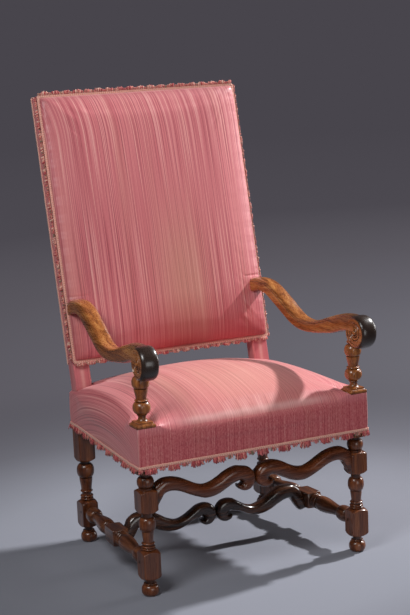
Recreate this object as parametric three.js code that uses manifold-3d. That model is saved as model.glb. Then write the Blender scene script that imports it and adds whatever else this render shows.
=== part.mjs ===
// An upholstered open armchair with a high raked back: a turned walnut frame with scrolled
// stretchers and arms, a stuffed seat and back over webbing, and a silk cover with fringe.
// Millimetres, +Z up, the front faces -Y, and "left" is the side at -X.
import * as THREE from 'three';
import { mergeVertices } from 'three/addons/utils/BufferGeometryUtils.js';
import Module from 'manifold-3d';

const wasm = await Module();
wasm.setup();

// Plan of the four posts. The rear ones follow the back's sides, past which the seat's corners reach
const frontLegSpacing = 590;
const rearCornerOverhang = 3.75;
const legDepthSpacing = 458;
const legWidth = 50;
const legBlockWidth = 45;

// Gaps, cuts and the fineness of round work
const fitGap = 0.3;
const cutOverrun = 4;
const turnedFacets = 12;
const pegFacets = 8;
const beadSteps = 4;
const ballSteps = 5;
const vaseSteps = 3;
const shoulderSteps = 2;

// Foot and lower block, alike on all four legs
const footHeight = 32;
const footRadius = 21;
const footFlatRadius = 11;
const footNeckHeight = 9;
const footNeckRadius = 12;
const lowerBlockHeight = 75;
const upperShoulder = 11;
const lowerShoulder = 22;
const shoulderRadius = 17;

// Front leg above its lower block, from the bottom up
const frontCollarHeight = 11;
const collarRadius = 17.5;
const legNeckHeight = 3;
const legNeckRadius = 12.5;
const frontBeadHeight = 5;
const legBeadRadius = 16.5;
const frontVaseHeight = 28;
const frontVaseTopRadius = 15;
const frontBallHeight = 35;
const legBallRadius = 21;
const upperNeckHeight = 10;
const upperBlockHeight = 60;
const upperBlockLowerShoulder = 22;
const filletHeight = 4;
const upperBallHeight = 28;
const topNeckHeight = 6;

// Rear leg above its lower block
const rearCollarHeight = 15;
const rearNeckHeight = 7;
const rearBeadHeight = 6;
const rearVaseHeight = 34;
const rearVaseBottomRadius = 14;
const rearVaseTopRadius = 17.5;
const rearBallHeight = 39;
const rearBallRadius = 23.5;

// Arm support above the seat, from the plinth up
const plinthSink = 4;
const plinthHeight = 13;
const cavettoHeight = 10;
const supportNeckHeight = 5;
const supportNeckRadius = 9.5;
const supportBallHeight = 33;
const supportBallRadius = 21.5;
const supportVaseHeight = 30;
const supportVaseBottomRadius = 12.5;
const supportVaseTopRadius = 16.5;
const supportTopBallHeight = 32;
const supportTopBallRadius = 20.5;
const capNeckHeight = 4;
const capNeckRadius = 11.5;
const capRingHeight = 7;
const capRingRadius = 15;
const capStemHeight = 17;
const armTenonRadius = 9;
const armTenonLength = 20;

// Seat: hem, sides and crown
const hemDrop = 18;
const seatSideHeight = 104;
const seatCrown = 58;
const coverThickness = 1.5;
const webThickness = 2;
const hessianThickness = 1;

// Seat rails and their joints
const railHeight = 72;
const railThickness = 26;
const railHemRise = 6;
const railTenonLength = 18;
const railTenonThickness = 10;
const railTenonHeight = 48;
const pegRadius = 3.5;
const railPegClearance = 3.9;
const blindPegLength = 38;

// Back: rake, panel and frame
const rakeStartDrop = 18;
const backRake = 13;
const backPanelStart = 84;
const backPanelHeight = 714;
const backWidth = 580;
const backCrown = 38;
const backMargin = 9;
const stileDepth = 34;
const backRailHeight = 60;
const backRailThickness = 24;
const backTenonLength = 20;
const backTenonThickness = 9;
const backTenonHeight = 44;

// Webbing straps
const strapWidth = 50;
const seatStrapsAlong = 4;
const seatStrapsAcross = 3;
const backStrapsUp = 2;
const backUpperStraps = 3;
const strapEndInset = 3;

// Braid and fringe
const braidWidth = 7.5;
const fringeThickness = 3;
const fringeDrop = 14;
const tuftSpacing = 60;
const tuftDrop = 6;
const backFringeReach = 5;
const backFringeHang = 15;
const braidProud = 1;
const rearBraidThickness = 2;
const sleeveStart = 12;

// Arms
const armWidth = 46;
const armRise = 82;
const armScrollRadius = 42.5;
const armScrollForward = 38;
const armEdgeMargin = 2.5;
const armTenonThickness = 12;
const armTenonHeight = 22;
const stileTenonLength = 20;

// Scrolled stretchers
const frontStretcherThickness = 38;
const frontStretcherLift = 11.5;
const frontStretcherRise = 41;
const frontScrollRadius = 33;
const frontScrollOffset = 32.5;
const crossStretcherThickness = 36;
const crossStretcherLift = 16;
const crossStretcherRise = 37;
const crossScrollRadius = 31.5;
const crossScrollOffset = 31;
const frontBandDepth = 32.5;
const crossBandDepth = 36;
const scrollBevel = 4;
const scrollFacets = 18;
const stretcherTenonLength = 25;
const stretcherTenonThickness = 12;
const frontTenonHeight = 40;
const crossTenonHeight = 26;

// Turned side stretchers, from the leg towards the middle
const sideStretcherLift = 7;
const sideNeckLength = 13;
const sideNeckRadius = 13;
const sideBallLength = 38;
const sideBallRadius = 21;
const sideBallNeckLength = 5;
const sideVaseRootRadius = 12.5;
const sideCupRadius = 20.5;
const sideCupEndLength = 18;
const sideGrooveLength = 3;
const sideGrooveRadius = 14;
const sideRingLength = 9;
const sideRingRadius = 18.5;
const sideBlockWidth = 42;
const sideBlockLength = 70;
const sideBlockShoulder = 8;
const sideTenonRadius = 11;
const sideTenonLength = 30;

// Places that follow from the sizes
const halfSide = legWidth / 2;
const blockHalf = legBlockWidth / 2;
const sideBlockHalf = sideBlockWidth / 2;
const cornerReach = halfSide * Math.SQRT2 + cutOverrun;
const frontX = frontLegSpacing / 2;
const backHalf = backWidth / 2;
const rearX = backHalf + rearCornerOverhang - halfSide;
const lowerBlockBottom = footHeight + footNeckHeight;
const lowerBlockMiddle = lowerBlockBottom + lowerBlockHeight / 2;
const lowerBlockTop = lowerBlockBottom + lowerBlockHeight;
const sideAxisZ = lowerBlockMiddle + sideStretcherLift;
const upperBlockBottom = lowerBlockTop + frontCollarHeight + legNeckHeight + frontBeadHeight
  + frontVaseHeight + frontBallHeight + upperNeckHeight;
const upperBlockMiddle = upperBlockBottom + upperBlockHeight / 2;
const frontSquareBottom = upperBlockBottom + upperBlockHeight + filletHeight
  + upperBallHeight + topNeckHeight;
const rearSquareBottom = lowerBlockTop + rearCollarHeight + rearNeckHeight + rearBeadHeight
  + rearVaseHeight + rearBallHeight + topNeckHeight;
const hemZ = frontSquareBottom + hemDrop;
const seatEdgeZ = hemZ + seatSideHeight;
const plinthZ = seatEdgeZ - plinthSink;
const armUnderZ = plinthZ + plinthHeight + cavettoHeight + supportNeckHeight
  + supportBallHeight + supportVaseHeight + supportTopBallHeight + 2 * capNeckHeight
  + 2 * capRingHeight + capStemHeight;
const coverGap = coverThickness + fitGap;
const rebatedHalf = halfSide - coverGap;
const railBottomZ = hemZ + railHemRise;
const railTopZ = railBottomZ + railHeight;
const railInset = rebatedHalf - railThickness / 2;
const lowerWebZ = railTopZ + fitGap;
const upperWebZ = lowerWebZ + webThickness + fitGap;
const hessianZ = upperWebZ + webThickness + fitGap;
const seatStuffingZ = hessianZ + hessianThickness + fitGap;
const seatFrontY = -halfSide;
const seatRearY = legDepthSpacing + halfSide;

// The raked back's own frame: X across, Y through its thickness to the rear, Z up the rake
const rakeZ = seatEdgeZ - rakeStartDrop;
const rakeAngle = THREE.MathUtils.degToRad(backRake);
const backOrigin = new THREE.Vector3(0, legDepthSpacing - rebatedHalf, rakeZ);
const backTop = backPanelStart + backPanelHeight;
const stileOuterX = backHalf - coverGap;
const stileInnerX = rearX - rebatedHalf;
const stileTop = backTop - coverGap;
const backRailBottom = backPanelStart + coverGap;
const backWebY = -fitGap - webThickness;
const backOuterWebY = backWebY - fitGap - webThickness;
const backHessianY = backOuterWebY - fitGap - hessianThickness;

// Materials
const finish = (color, roughness) => new THREE.MeshStandardMaterial({ color, roughness, metalness: 0 });
const walnut = finish('#5b3220', 0.35);
const armWalnut = finish('#8a4f26', 0.32);
const beech = finish('#b48a5c', 0.6);
const pegWood = finish('#3c2115', 0.45);
const silk = finish('#c4727c', 0.5);
const braid = finish('#dba08e', 0.7);
const jute = finish('#a58658', 0.85);
const hessian = finish('#b39b6c', 0.9);
const horsehair = finish('#4a3d33', 0.95);

// A closed geometry as a solid, with its faces turned outwards
function solidFrom(geometry) {
  const bare = geometry.index ? geometry.toNonIndexed() : geometry.clone();
  bare.deleteAttribute('normal');
  bare.deleteAttribute('uv');
  const merged = mergeVertices(bare);
  const corners = merged.index.array;
  const kept = [];
  for (let i = 0; i < corners.length; i += 3) {
    const [a, b, c] = corners.slice(i, i + 3);
    if (a !== b && b !== c && c !== a) kept.push(a, b, c);
  }
  const vertProperties = new Float32Array(merged.attributes.position.array);
  const make = (list) => new wasm.Manifold(
    new wasm.Mesh({ numProp: 3, vertProperties, triVerts: new Uint32Array(list) }),
  );
  const solid = make(kept);
  return solid.volume() < 0 ? make(kept.reverse()) : solid;
}

// The geometry that a solid's surface makes
function geometryFrom(solid) {
  const mesh = solid.getMesh();
  const geometry = new THREE.BufferGeometry();
  geometry.setAttribute('position', new THREE.BufferAttribute(mesh.vertProperties, 3));
  geometry.setIndex(new THREE.BufferAttribute(mesh.triVerts, 1));
  geometry.computeVertexNormals();
  return geometry;
}

// A block between two corners, before it is placed
function blockGeometry(x0, x1, y0, y1, z0, z1) {
  const geometry = new THREE.BoxGeometry(x1 - x0, y1 - y0, z1 - z0);
  geometry.translate((x0 + x1) / 2, (y0 + y1) / 2, (z0 + z1) / 2);
  return geometry;
}
const block = (...corners) => solidFrom(blockGeometry(...corners));

// A closed body through rings of equally many points, with flat ends, or closed on itself.
// An end that isn't convex comes with its own triangles
function loft(rings, closedLoop = false, endTriangles = null) {
  const count = rings[0].length;
  const place = [];
  const corners = [];
  for (const ring of rings) for (const point of ring) place.push(...point);
  const strips = closedLoop ? rings.length : rings.length - 1;
  for (let r = 0; r < strips; r += 1) {
    const next = (r + 1) % rings.length;
    for (let i = 0; i < count; i += 1) {
      const j = (i + 1) % count;
      const [a, b, c, d] = [r * count + i, r * count + j, next * count + j, next * count + i];
      corners.push(a, b, c, a, c, d);
    }
  }
  if (!closedLoop) {
    const last = (rings.length - 1) * count;
    const fan = Array.from({ length: count - 2 }, (unused, i) => [0, i + 1, i + 2]);
    const turns = THREE.ShapeUtils.isClockWise(rings[0].map(([x, , z]) => new THREE.Vector2(x, z)));
    for (const [a, b, c] of endTriangles ?? fan) {
      const [second, third] = endTriangles && turns ? [c, b] : [b, c];
      corners.push(a, third, second);
      corners.push(last + a, last + second, last + third);
    }
  }
  const geometry = new THREE.BufferGeometry();
  geometry.setAttribute('position', new THREE.Float32BufferAttribute(place, 3));
  geometry.setIndex(corners);
  return geometry;
}

// A flat outline carried straight up from z0 to z1
function slab(outline, z0, z1) {
  const rings = [z0, z1].map((z) => outline.map(([x, y]) => [x, y, z]));
  return solidFrom(loft(rings));
}

// Turned elements, as [radius, height] points from a base height up
const halfTurn = Math.PI;
function swelling(height, radius, root, steps) {
  const points = [];
  for (let i = 0; i <= steps; i += 1) {
    const angle = (halfTurn * i) / steps;
    points.push([root + (radius - root) * Math.sin(angle), (height * (1 - Math.cos(angle))) / 2]);
  }
  return { height, points };
}
const bead = (height, radius, root) => swelling(height, radius, root, beadSteps);
const ball = (height, radius, root) => swelling(height, radius, root, ballSteps);
const stem = (height, radius) => ({ height, points: [[radius, 0], [radius, height]] });
function vase(height, bottom, top) {
  const points = [];
  for (let i = 0; i <= vaseSteps; i += 1) {
    const share = i / vaseSteps;
    const ease = share * share * (3 - 2 * share);
    points.push([bottom + (top - bottom) * ease, height * share]);
  }
  return { height, points };
}
// A rounded end that closes a wide turning down to a slimmer one
function dome(height, bottom, top) {
  const points = [];
  for (let i = 0; i <= vaseSteps; i += 1) {
    const angle = (halfTurn * i) / vaseSteps / 2;
    points.push([top + (bottom - top) * Math.cos(angle), height * Math.sin(angle)]);
  }
  return { height, points };
}
const upended = ({ height, points }) => (
  { height, points: points.map(([radius, rise]) => [radius, height - rise]).reverse() }
);
// A stretch left square, whose rounded shoulders run in to the turned work
function squared(height, low, high) {
  const points = [];
  for (let i = 0; i <= shoulderSteps; i += 1) {
    const angle = (halfTurn * i) / shoulderSteps / 2;
    const radius = shoulderRadius + (cornerReach - shoulderRadius) * Math.sin(angle);
    if (low) points.push([radius, low * (1 - Math.cos(angle))]);
  }
  for (let i = shoulderSteps; i >= 0; i -= 1) {
    const angle = (halfTurn * i) / shoulderSteps / 2;
    const radius = shoulderRadius + (cornerReach - shoulderRadius) * Math.sin(angle);
    if (high) points.push([radius, height - high * (1 - Math.cos(angle))]);
  }
  if (!low) points.unshift([cornerReach, 0]);
  if (!high) points.push([cornerReach, height]);
  return { height, points };
}
// A turning about the Z axis, from a stack of elements that starts at height z0
function turned(z0, elements, facets = turnedFacets) {
  const profile = [new THREE.Vector2(0, z0)];
  let base = z0;
  for (const { height, points } of elements) {
    for (const [radius, rise] of points) profile.push(new THREE.Vector2(radius, base + rise));
    base += height;
  }
  profile.push(new THREE.Vector2(0, base));
  const geometry = new THREE.LatheGeometry(profile, facets);
  geometry.rotateY(halfTurn / facets);
  geometry.rotateX(halfTurn / 2);
  return geometry;
}
const turnedSolid = (z0, elements) => solidFrom(turned(z0, elements));
// The same stack with every radius larger by the fitting gap
const grownStack = (elements) => elements.map(({ height, points }) => (
  { height, points: points.map(([radius, rise]) => [radius + fitGap, rise]) }
));

// A round bar along one axis between two places
function bar(axis, from, to, radius, across) {
  const geometry = turned(from, [stem(to - from, radius)], pegFacets);
  if (axis === 'x') geometry.rotateY(halfTurn / 2);
  if (axis === 'y') geometry.rotateX(-halfTurn / 2);
  geometry.translate(...across);
  return solidFrom(geometry);
}

// The seat's plan: straight along the posts, tapered between them
function seatHalfWidth(y, inset) {
  const rearStart = legDepthSpacing - halfSide;
  const share = THREE.MathUtils.clamp((y - halfSide) / (rearStart - halfSide), 0, 1);
  return frontX + halfSide + (rearX - frontX) * share - inset;
}
function seatPlan(inset) {
  const right = [
    [seatHalfWidth(seatFrontY, inset), seatFrontY + inset],
    [seatHalfWidth(halfSide, inset), halfSide],
    [seatHalfWidth(legDepthSpacing - halfSide, inset), legDepthSpacing - halfSide],
    [seatHalfWidth(seatRearY, inset), seatRearY - inset],
  ];
  const left = right.map(([x, y]) => [-x, y]).reverse();
  return [...right, ...left];
}

// A crowned pad over a grid. Its height rises from the edge as a rounded roll to the crown
const crownPower = 2.5;
const crownColumnShares = [-1, -0.96, -0.84, -0.5, 0, 0.5, 0.84, 0.96, 1];
const swell = (share) => Math.sqrt(Math.max(0, 1 - Math.abs(share) ** crownPower));
function crownedPad({ rows, halfWidth, base, edge, crown, place }) {
  const first = rows[0];
  const last = rows[rows.length - 1];
  const rings = rows.map((along) => {
    const rowSwell = crown * swell((2 * along - first - last) / (last - first));
    const half = halfWidth(along);
    const top = crownColumnShares.map((share) => (
      place(share * half, along, edge + rowSwell * swell(share))
    ));
    return [place(-half, along, base), ...top, place(half, along, base)];
  });
  return solidFrom(loft(rings));
}

// Places in the raked back's frame, carried to the chair's frame
const backPlacing = new THREE.Matrix4()
  .makeRotationX(-rakeAngle)
  .setPosition(backOrigin);
const rakedBlock = (...corners) => solidFrom(blockGeometry(...corners).applyMatrix4(backPlacing));

// Turned stacks of the legs
const foot = swelling(footHeight, footRadius, footFlatRadius, ballSteps);
const footNeck = stem(footNeckHeight, footNeckRadius);
const lowerBlock = squared(lowerBlockHeight, lowerShoulder, upperShoulder);
const collarBead = (height) => bead(height / 2, collarRadius, legNeckRadius);
const frontLegStack = [
  foot,
  footNeck,
  lowerBlock,
  collarBead(frontCollarHeight),
  collarBead(frontCollarHeight),
  stem(legNeckHeight, legNeckRadius),
  bead(frontBeadHeight, legBeadRadius, legNeckRadius),
  vase(frontVaseHeight, legNeckRadius, frontVaseTopRadius),
  ball(frontBallHeight, legBallRadius, legNeckRadius),
  stem(upperNeckHeight, legNeckRadius),
  squared(upperBlockHeight, upperBlockLowerShoulder, upperShoulder),
  stem(filletHeight, collarRadius),
  ball(upperBallHeight, legBallRadius, legNeckRadius),
  stem(topNeckHeight, legNeckRadius),
  squared(plinthZ + plinthHeight - frontSquareBottom, upperShoulder, 0),
];
const rearLegStack = [
  foot,
  footNeck,
  lowerBlock,
  collarBead(rearCollarHeight),
  collarBead(rearCollarHeight),
  stem(rearNeckHeight, legNeckRadius),
  bead(rearBeadHeight, legBeadRadius, legNeckRadius),
  vase(rearVaseHeight, rearVaseBottomRadius, rearVaseTopRadius),
  ball(rearBallHeight, rearBallRadius, legNeckRadius),
  stem(topNeckHeight, legNeckRadius),
  squared(rakeZ - rearSquareBottom, lowerShoulder, 0),
];

// The hollow moulding between the arm support's plinth and its neck
function cavetto() {
  const points = [];
  const reach = halfSide - supportNeckRadius;
  for (let i = 0; i <= shoulderSteps; i += 1) {
    const angle = (halfTurn * i) / shoulderSteps / 2;
    points.push([halfSide - reach * Math.sin(angle), cavettoHeight * (1 - Math.cos(angle))]);
  }
  return { height: cavettoHeight, points };
}
const armSupportStack = [
  cavetto(),
  stem(supportNeckHeight, supportNeckRadius),
  ball(supportBallHeight, supportBallRadius, supportNeckRadius),
  vase(supportVaseHeight, supportVaseBottomRadius, supportVaseTopRadius),
  ball(supportTopBallHeight, supportTopBallRadius, capNeckRadius),
  stem(capNeckHeight, capNeckRadius),
  bead(capRingHeight, capRingRadius, capNeckRadius),
  stem(capNeckHeight, capNeckRadius),
  bead(capRingHeight, capRingRadius, capNeckRadius),
  stem(capStemHeight, capNeckRadius),
];
const armTenon = (grow) => stem(armTenonLength + grow, armTenonRadius + grow);

// The line of a side stretcher, from the front leg's axis to the rear leg's
const sideSplay = Math.atan2(frontX - rearX, legDepthSpacing);
const sideLength = Math.hypot(frontX - rearX, legDepthSpacing);
function alongSide(geometry, side) {
  geometry.rotateX(-halfTurn / 2);
  geometry.rotateZ(side * sideSplay);
  geometry.translate(side * frontX, 0, sideAxisZ);
  return solidFrom(geometry);
}
function sideTenons(side, grow) {
  const length = sideTenonLength + cutOverrun;
  const frontStart = blockHalf - sideTenonLength - grow;
  const rearStart = sideLength - blockHalf - cutOverrun;
  const front = alongSide(turned(frontStart, [stem(length + grow, sideTenonRadius + grow)]), side);
  const rear = alongSide(turned(rearStart, [stem(length + grow, sideTenonRadius + grow)]), side);
  return front.add(rear);
}
// The square middle block of a side stretcher
function sideBlock(side, grow) {
  const half = sideBlockHalf + grow;
  const reach = sideBlockLength / 2;
  const middle = sideLength / 2;
  return alongSide(blockGeometry(-half, half, -half, half, middle - reach, middle + reach), side);
}
const sideBlockInnerX = (frontX + rearX) / 2 - sideBlockHalf;
// A pair of flat tenons at both ends of a bar that runs across the chair
function endTenons({ shoulder, length, y, z, thickness, height }, grow) {
  const reach = shoulder + length + grow;
  const halfY = thickness / 2 + grow;
  const halfZ = height / 2 + grow;
  const end = (x0, x1) => block(x0, x1, y - halfY, y + halfY, z - halfZ, z + halfZ);
  return end(shoulder - cutOverrun, reach).add(end(-reach, cutOverrun - shoulder));
}
const crossTenons = (grow) => endTenons({
  shoulder: sideBlockInnerX,
  length: stretcherTenonLength,
  y: legDepthSpacing / 2,
  z: sideAxisZ,
  thickness: stretcherTenonThickness,
  height: crossTenonHeight,
}, grow);
const frontStretcherTenons = (grow) => endTenons({
  shoulder: frontX - blockHalf,
  length: stretcherTenonLength,
  y: 0,
  z: upperBlockMiddle,
  thickness: stretcherTenonThickness,
  height: frontTenonHeight,
}, grow);

// Tenons of the seat rails
const railMiddleZ = railBottomZ + railHeight / 2;
const crossRailTenons = (x, y, grow) => endTenons({
  shoulder: x - rebatedHalf,
  length: railTenonLength,
  y,
  z: railMiddleZ,
  thickness: railTenonThickness,
  height: railTenonHeight,
}, grow);
const frontRailTenons = (grow) => crossRailTenons(frontX, -railInset, grow);
const rearRailTenons = (grow) => crossRailTenons(rearX, legDepthSpacing + railInset, grow);
function sideRailTenons(side, grow) {
  const halfX = railTenonThickness / 2 + grow;
  const halfZ = railTenonHeight / 2 + grow;
  const end = (x, y0, y1) => block(
    x - halfX, x + halfX, y0, y1, railMiddleZ - halfZ, railMiddleZ + halfZ,
  );
  const frontStart = rebatedHalf - railTenonLength - grow;
  const rearEnd = legDepthSpacing - rebatedHalf + railTenonLength + grow;
  const front = end(side * (frontX + railInset), frontStart, rebatedHalf + cutOverrun);
  const rear = end(
    side * (rearX + railInset), legDepthSpacing - rebatedHalf - cutOverrun, rearEnd,
  );
  return front.add(rear);
}
// Tenons of the back rails, in the raked frame
function backRailTenons(bottom, grow) {
  const reach = stileInnerX + backTenonLength + grow;
  const halfY = backTenonThickness / 2 + grow;
  const middle = bottom + backRailHeight / 2;
  const halfZ = backTenonHeight / 2 + grow;
  const y = backWebY + backRailThickness / 2;
  return rakedBlock(-reach, reach, y - halfY, y + halfY, middle - halfZ, middle + halfZ);
}
const topRailBottom = stileTop - backRailHeight;

// Pegs driven through the joints. Each is a round bar with an optional gap for its hole
const peg = (axis, from, to, across, grow) => {
  const overrun = grow ? cutOverrun : 0;
  return bar(axis, from - overrun, to + overrun, pegRadius + grow, across);
};
const sidePegInset = blockHalf - sideTenonLength / 2;
const sidePegs = (side, grow) => [
  peg('x', -blockHalf, blockHalf, [side * frontX, sidePegInset, sideAxisZ], grow),
  peg('x', -blockHalf, blockHalf, [side * rearX, legDepthSpacing - sidePegInset, sideAxisZ], grow),
];
const frontStretcherPegX = frontX - blockHalf + stretcherTenonLength / 2;
const frontStretcherPeg = (side, grow) => peg(
  'y', blockHalf - blindPegLength, blockHalf,
  [side * frontStretcherPegX, 0, upperBlockMiddle], grow,
);
const crossPegX = sideBlockInnerX + stretcherTenonLength / 2;
const crossPeg = (side, grow) => peg(
  'z', sideAxisZ - sideBlockHalf, sideAxisZ - sideBlockHalf + blindPegLength,
  [side * crossPegX, legDepthSpacing / 2, 0], grow,
);
const railPegInset = rebatedHalf - railTenonLength / 2;
const railPegLength = rebatedHalf + railPegInset - pegRadius - railPegClearance;
function railPegs(side, grow) {
  const outerX = (x) => (side > 0 ? [x + rebatedHalf - railPegLength, x + rebatedHalf]
    : [-x - rebatedHalf, -x - rebatedHalf + railPegLength]);
  const rearFaceY = legDepthSpacing + rebatedHalf;
  return {
    front: peg('y', -rebatedHalf, railPegLength - rebatedHalf,
      [side * (frontX - railPegInset), 0, railMiddleZ], grow),
    rear: peg('y', rearFaceY - railPegLength, rearFaceY,
      [side * (rearX - railPegInset), 0, railMiddleZ], grow),
    side_front: peg('x', ...outerX(frontX), [0, railPegInset, railMiddleZ], grow),
    side_rear: peg('x', ...outerX(rearX), [0, legDepthSpacing - railPegInset, railMiddleZ], grow),
  };
}
const subtractAll = (solid, cutters) => cutters.reduce((left, cutter) => left.subtract(cutter), solid);

// Arms. Sections along an arm, from the stile to the scroll, as shares of its span and rise
const armSectionShares = [
  [1.04, 0.85, 0.24], [0.994, 0.89, 0.317], [0.914, 0.965, 0.488], [0.846, 0.985, 0.561],
  [0.78, 0.935, 0.512], [0.719, 0.81, 0.341], [0.657, 0.63, 0.146], [0.595, 0.425, -0.049],
  [0.534, 0.205, -0.232], [0.462, 0.025, -0.366], [0.378, -0.03, -0.402], [0.294, 0.06, -0.366],
  [0.205, 0.23, -0.293], [0.123, 0.385, -0.207], [0.041, 0.5, -0.061], [-0.02, 0.53, -0.012],
  [-0.078, 0.512, -0.024],
];
// The arm's round-topped section and the round-edged section of its scroll, as shares
const armOutlineShares = [
  [1, -0.3], [0.8, 0.45], [0.32, 0.9], [-0.32, 0.9], [-0.8, 0.45], [-1, -0.3], [-0.78, -1], [0.78, -1],
];
const scrollEdgeShares = [[0, -1], [0.72, -1], [0.92, -0.85], [1, -0.5], [1, 0.5], [0.92, 0.85], [0.72, 1], [0, 1]];
const armEndX = backHalf - armEdgeMargin - armWidth / 2;
const [, armEndTopShare, armEndBottomShare] = armSectionShares[1];
const armEndZ = armUnderZ + (armRise * (armEndTopShare + armEndBottomShare)) / 2;
const armEndY = backOrigin.y + Math.tan(rakeAngle) * (armEndZ - rakeZ);
const armSpan = Math.hypot(frontX - armEndX, armEndY);
const armSplay = Math.atan2(frontX - armEndX, armEndY);
const armEndRakedZ = (armEndZ - rakeZ) / Math.cos(rakeAngle);
const armCrestShare = armSectionShares[armSectionShares.length - 1][1];
const scrollCentreRise = armRise * armCrestShare - armScrollRadius;
function placeArm(geometry, side) {
  geometry.rotateZ(side * armSplay);
  geometry.translate(side * frontX, 0, armUnderZ);
  return solidFrom(geometry);
}
function armBand(side, grow) {
  const rings = armSectionShares.map(([along, top, bottom]) => {
    const middle = (armRise * (top + bottom)) / 2;
    const halfDepth = (armRise * (top - bottom)) / 2 + grow;
    return armOutlineShares.map(([across, up]) => (
      [across * (armWidth / 2 + grow), along * armSpan, middle + up * halfDepth]
    ));
  });
  return placeArm(loft(rings), side);
}
function armScroll(side) {
  const profile = scrollEdgeShares.map(([out, along]) => (
    new THREE.Vector2(out * armScrollRadius, (along * armWidth) / 2)
  ));
  const geometry = new THREE.LatheGeometry(profile, scrollFacets);
  geometry.rotateZ(halfTurn / 2);
  geometry.translate(0, -armScrollForward, scrollCentreRise);
  return placeArm(geometry, side);
}
function stileTenon(side, grow) {
  const halfX = armTenonThickness / 2 + grow;
  const halfZ = armTenonHeight / 2 + grow;
  return rakedBlock(
    side * armEndX - halfX, side * armEndX + halfX,
    -cutOverrun, stileTenonLength + grow,
    armEndRakedZ - halfZ, armEndRakedZ + halfZ,
  );
}
const armTenonHole = () => turnedSolid(plinthZ + plinthHeight, grownStack([
  ...armSupportStack.slice(0, -1),
  stem(capStemHeight + fitGap, capNeckRadius),
  stem(armTenonLength, armTenonRadius),
]));
function arm(side) {
  const back = rakedBlock(-backWidth, backWidth, -fitGap, backWidth, 0, backTop);
  return armBand(side, 0)
    .add(armScroll(side))
    .subtract(back)
    .subtract(armTenonHole().translate([side * frontX, 0, 0]))
    .add(stileTenon(side, 0));
}

// Posts. Square stock, turned where the stack is slimmer, with the cover drawn over its upper part
const column = (x, y, half, z0, z1) => block(x - half, x + half, y - half, y + half, z0, z1);
function frontPost(side) {
  const x = side * frontX;
  const top = armUnderZ + armTenonLength;
  const stock = column(x, 0, blockHalf, 0, hemZ - fitGap)
    .add(column(x, 0, rebatedHalf, hemZ - fitGap - cutOverrun, plinthZ + cutOverrun))
    .add(column(x, 0, halfSide, plinthZ, top + cutOverrun));
  const turning = turnedSolid(0, [
    ...frontLegStack, ...armSupportStack, stem(armTenonLength, armTenonRadius),
  ]);
  const pegs = railPegs(side, fitGap);
  return subtractAll(turning.translate([x, 0, 0]).intersect(stock), [
    sideTenons(side, fitGap),
    frontStretcherTenons(fitGap),
    frontRailTenons(fitGap),
    sideRailTenons(side, fitGap),
    sidePegs(side, fitGap)[0],
    frontStretcherPeg(side, fitGap),
    pegs.front,
    pegs.side_front,
  ]);
}
const sidewaysBlock = (side, x0, x1, ...rest) => (
  side > 0 ? rakedBlock(x0, x1, ...rest) : rakedBlock(-x1, -x0, ...rest)
);
function rearPost(side) {
  const x = side * rearX;
  const stock = column(x, legDepthSpacing, blockHalf, 0, hemZ - fitGap)
    .add(column(x, legDepthSpacing, rebatedHalf, hemZ - fitGap - cutOverrun, rakeZ));
  const turning = turnedSolid(0, rearLegStack).translate([x, legDepthSpacing, 0]);
  const stile = sidewaysBlock(side, stileInnerX, stileOuterX, 0, stileDepth, 0, stileTop);
  const pegs = railPegs(side, fitGap);
  return subtractAll(turning.intersect(stock).add(stile), [
    sideTenons(side, fitGap),
    rearRailTenons(fitGap),
    sideRailTenons(side, fitGap),
    backRailTenons(backRailBottom, fitGap),
    backRailTenons(topRailBottom, fitGap),
    stileTenon(side, fitGap),
    sidePegs(side, fitGap)[1],
    pegs.rear,
    pegs.side_rear,
  ]);
}

// Turned side stretcher: ball, vase, cup and rings on each side of its square middle block
function sideStretcher(side) {
  const vaseLength = sideLength / 2 - blockHalf - sideNeckLength - sideBallLength
    - sideBallNeckLength - sideCupEndLength - 2 * sideGrooveLength - 2 * sideRingLength
    - sideBlockLength / 2;
  const groove = stem(sideGrooveLength, sideGrooveRadius);
  const ring = bead(sideRingLength, sideRingRadius, sideGrooveRadius);
  const half = [
    stem(sideNeckLength + cutOverrun, sideNeckRadius),
    ball(sideBallLength, sideBallRadius, sideNeckRadius),
    stem(sideBallNeckLength, sideVaseRootRadius),
    vase(vaseLength, sideVaseRootRadius, sideCupRadius),
    dome(sideCupEndLength, sideCupRadius, sideGrooveRadius),
    groove, ring, groove, ring,
  ];
  const stack = [
    ...half,
    squared(sideBlockLength, sideBlockShoulder, sideBlockShoulder),
    ...half.map(upended).reverse(),
  ];
  const stock = blockGeometry(
    -sideBlockHalf, sideBlockHalf, -sideBlockHalf, sideBlockHalf, 0, sideLength,
  );
  const body = alongSide(turned(blockHalf - cutOverrun, stack), side)
    .intersect(alongSide(stock, side))
    .subtract(column(side * frontX, 0, blockHalf + fitGap, 0, hemZ))
    .subtract(column(side * rearX, legDepthSpacing, blockHalf + fitGap, 0, hemZ))
    .add(sideTenons(side, 0));
  return subtractAll(body, [crossTenons(fitGap), crossPeg(side, fitGap), ...sidePegs(side, fitGap)]);
}

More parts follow.
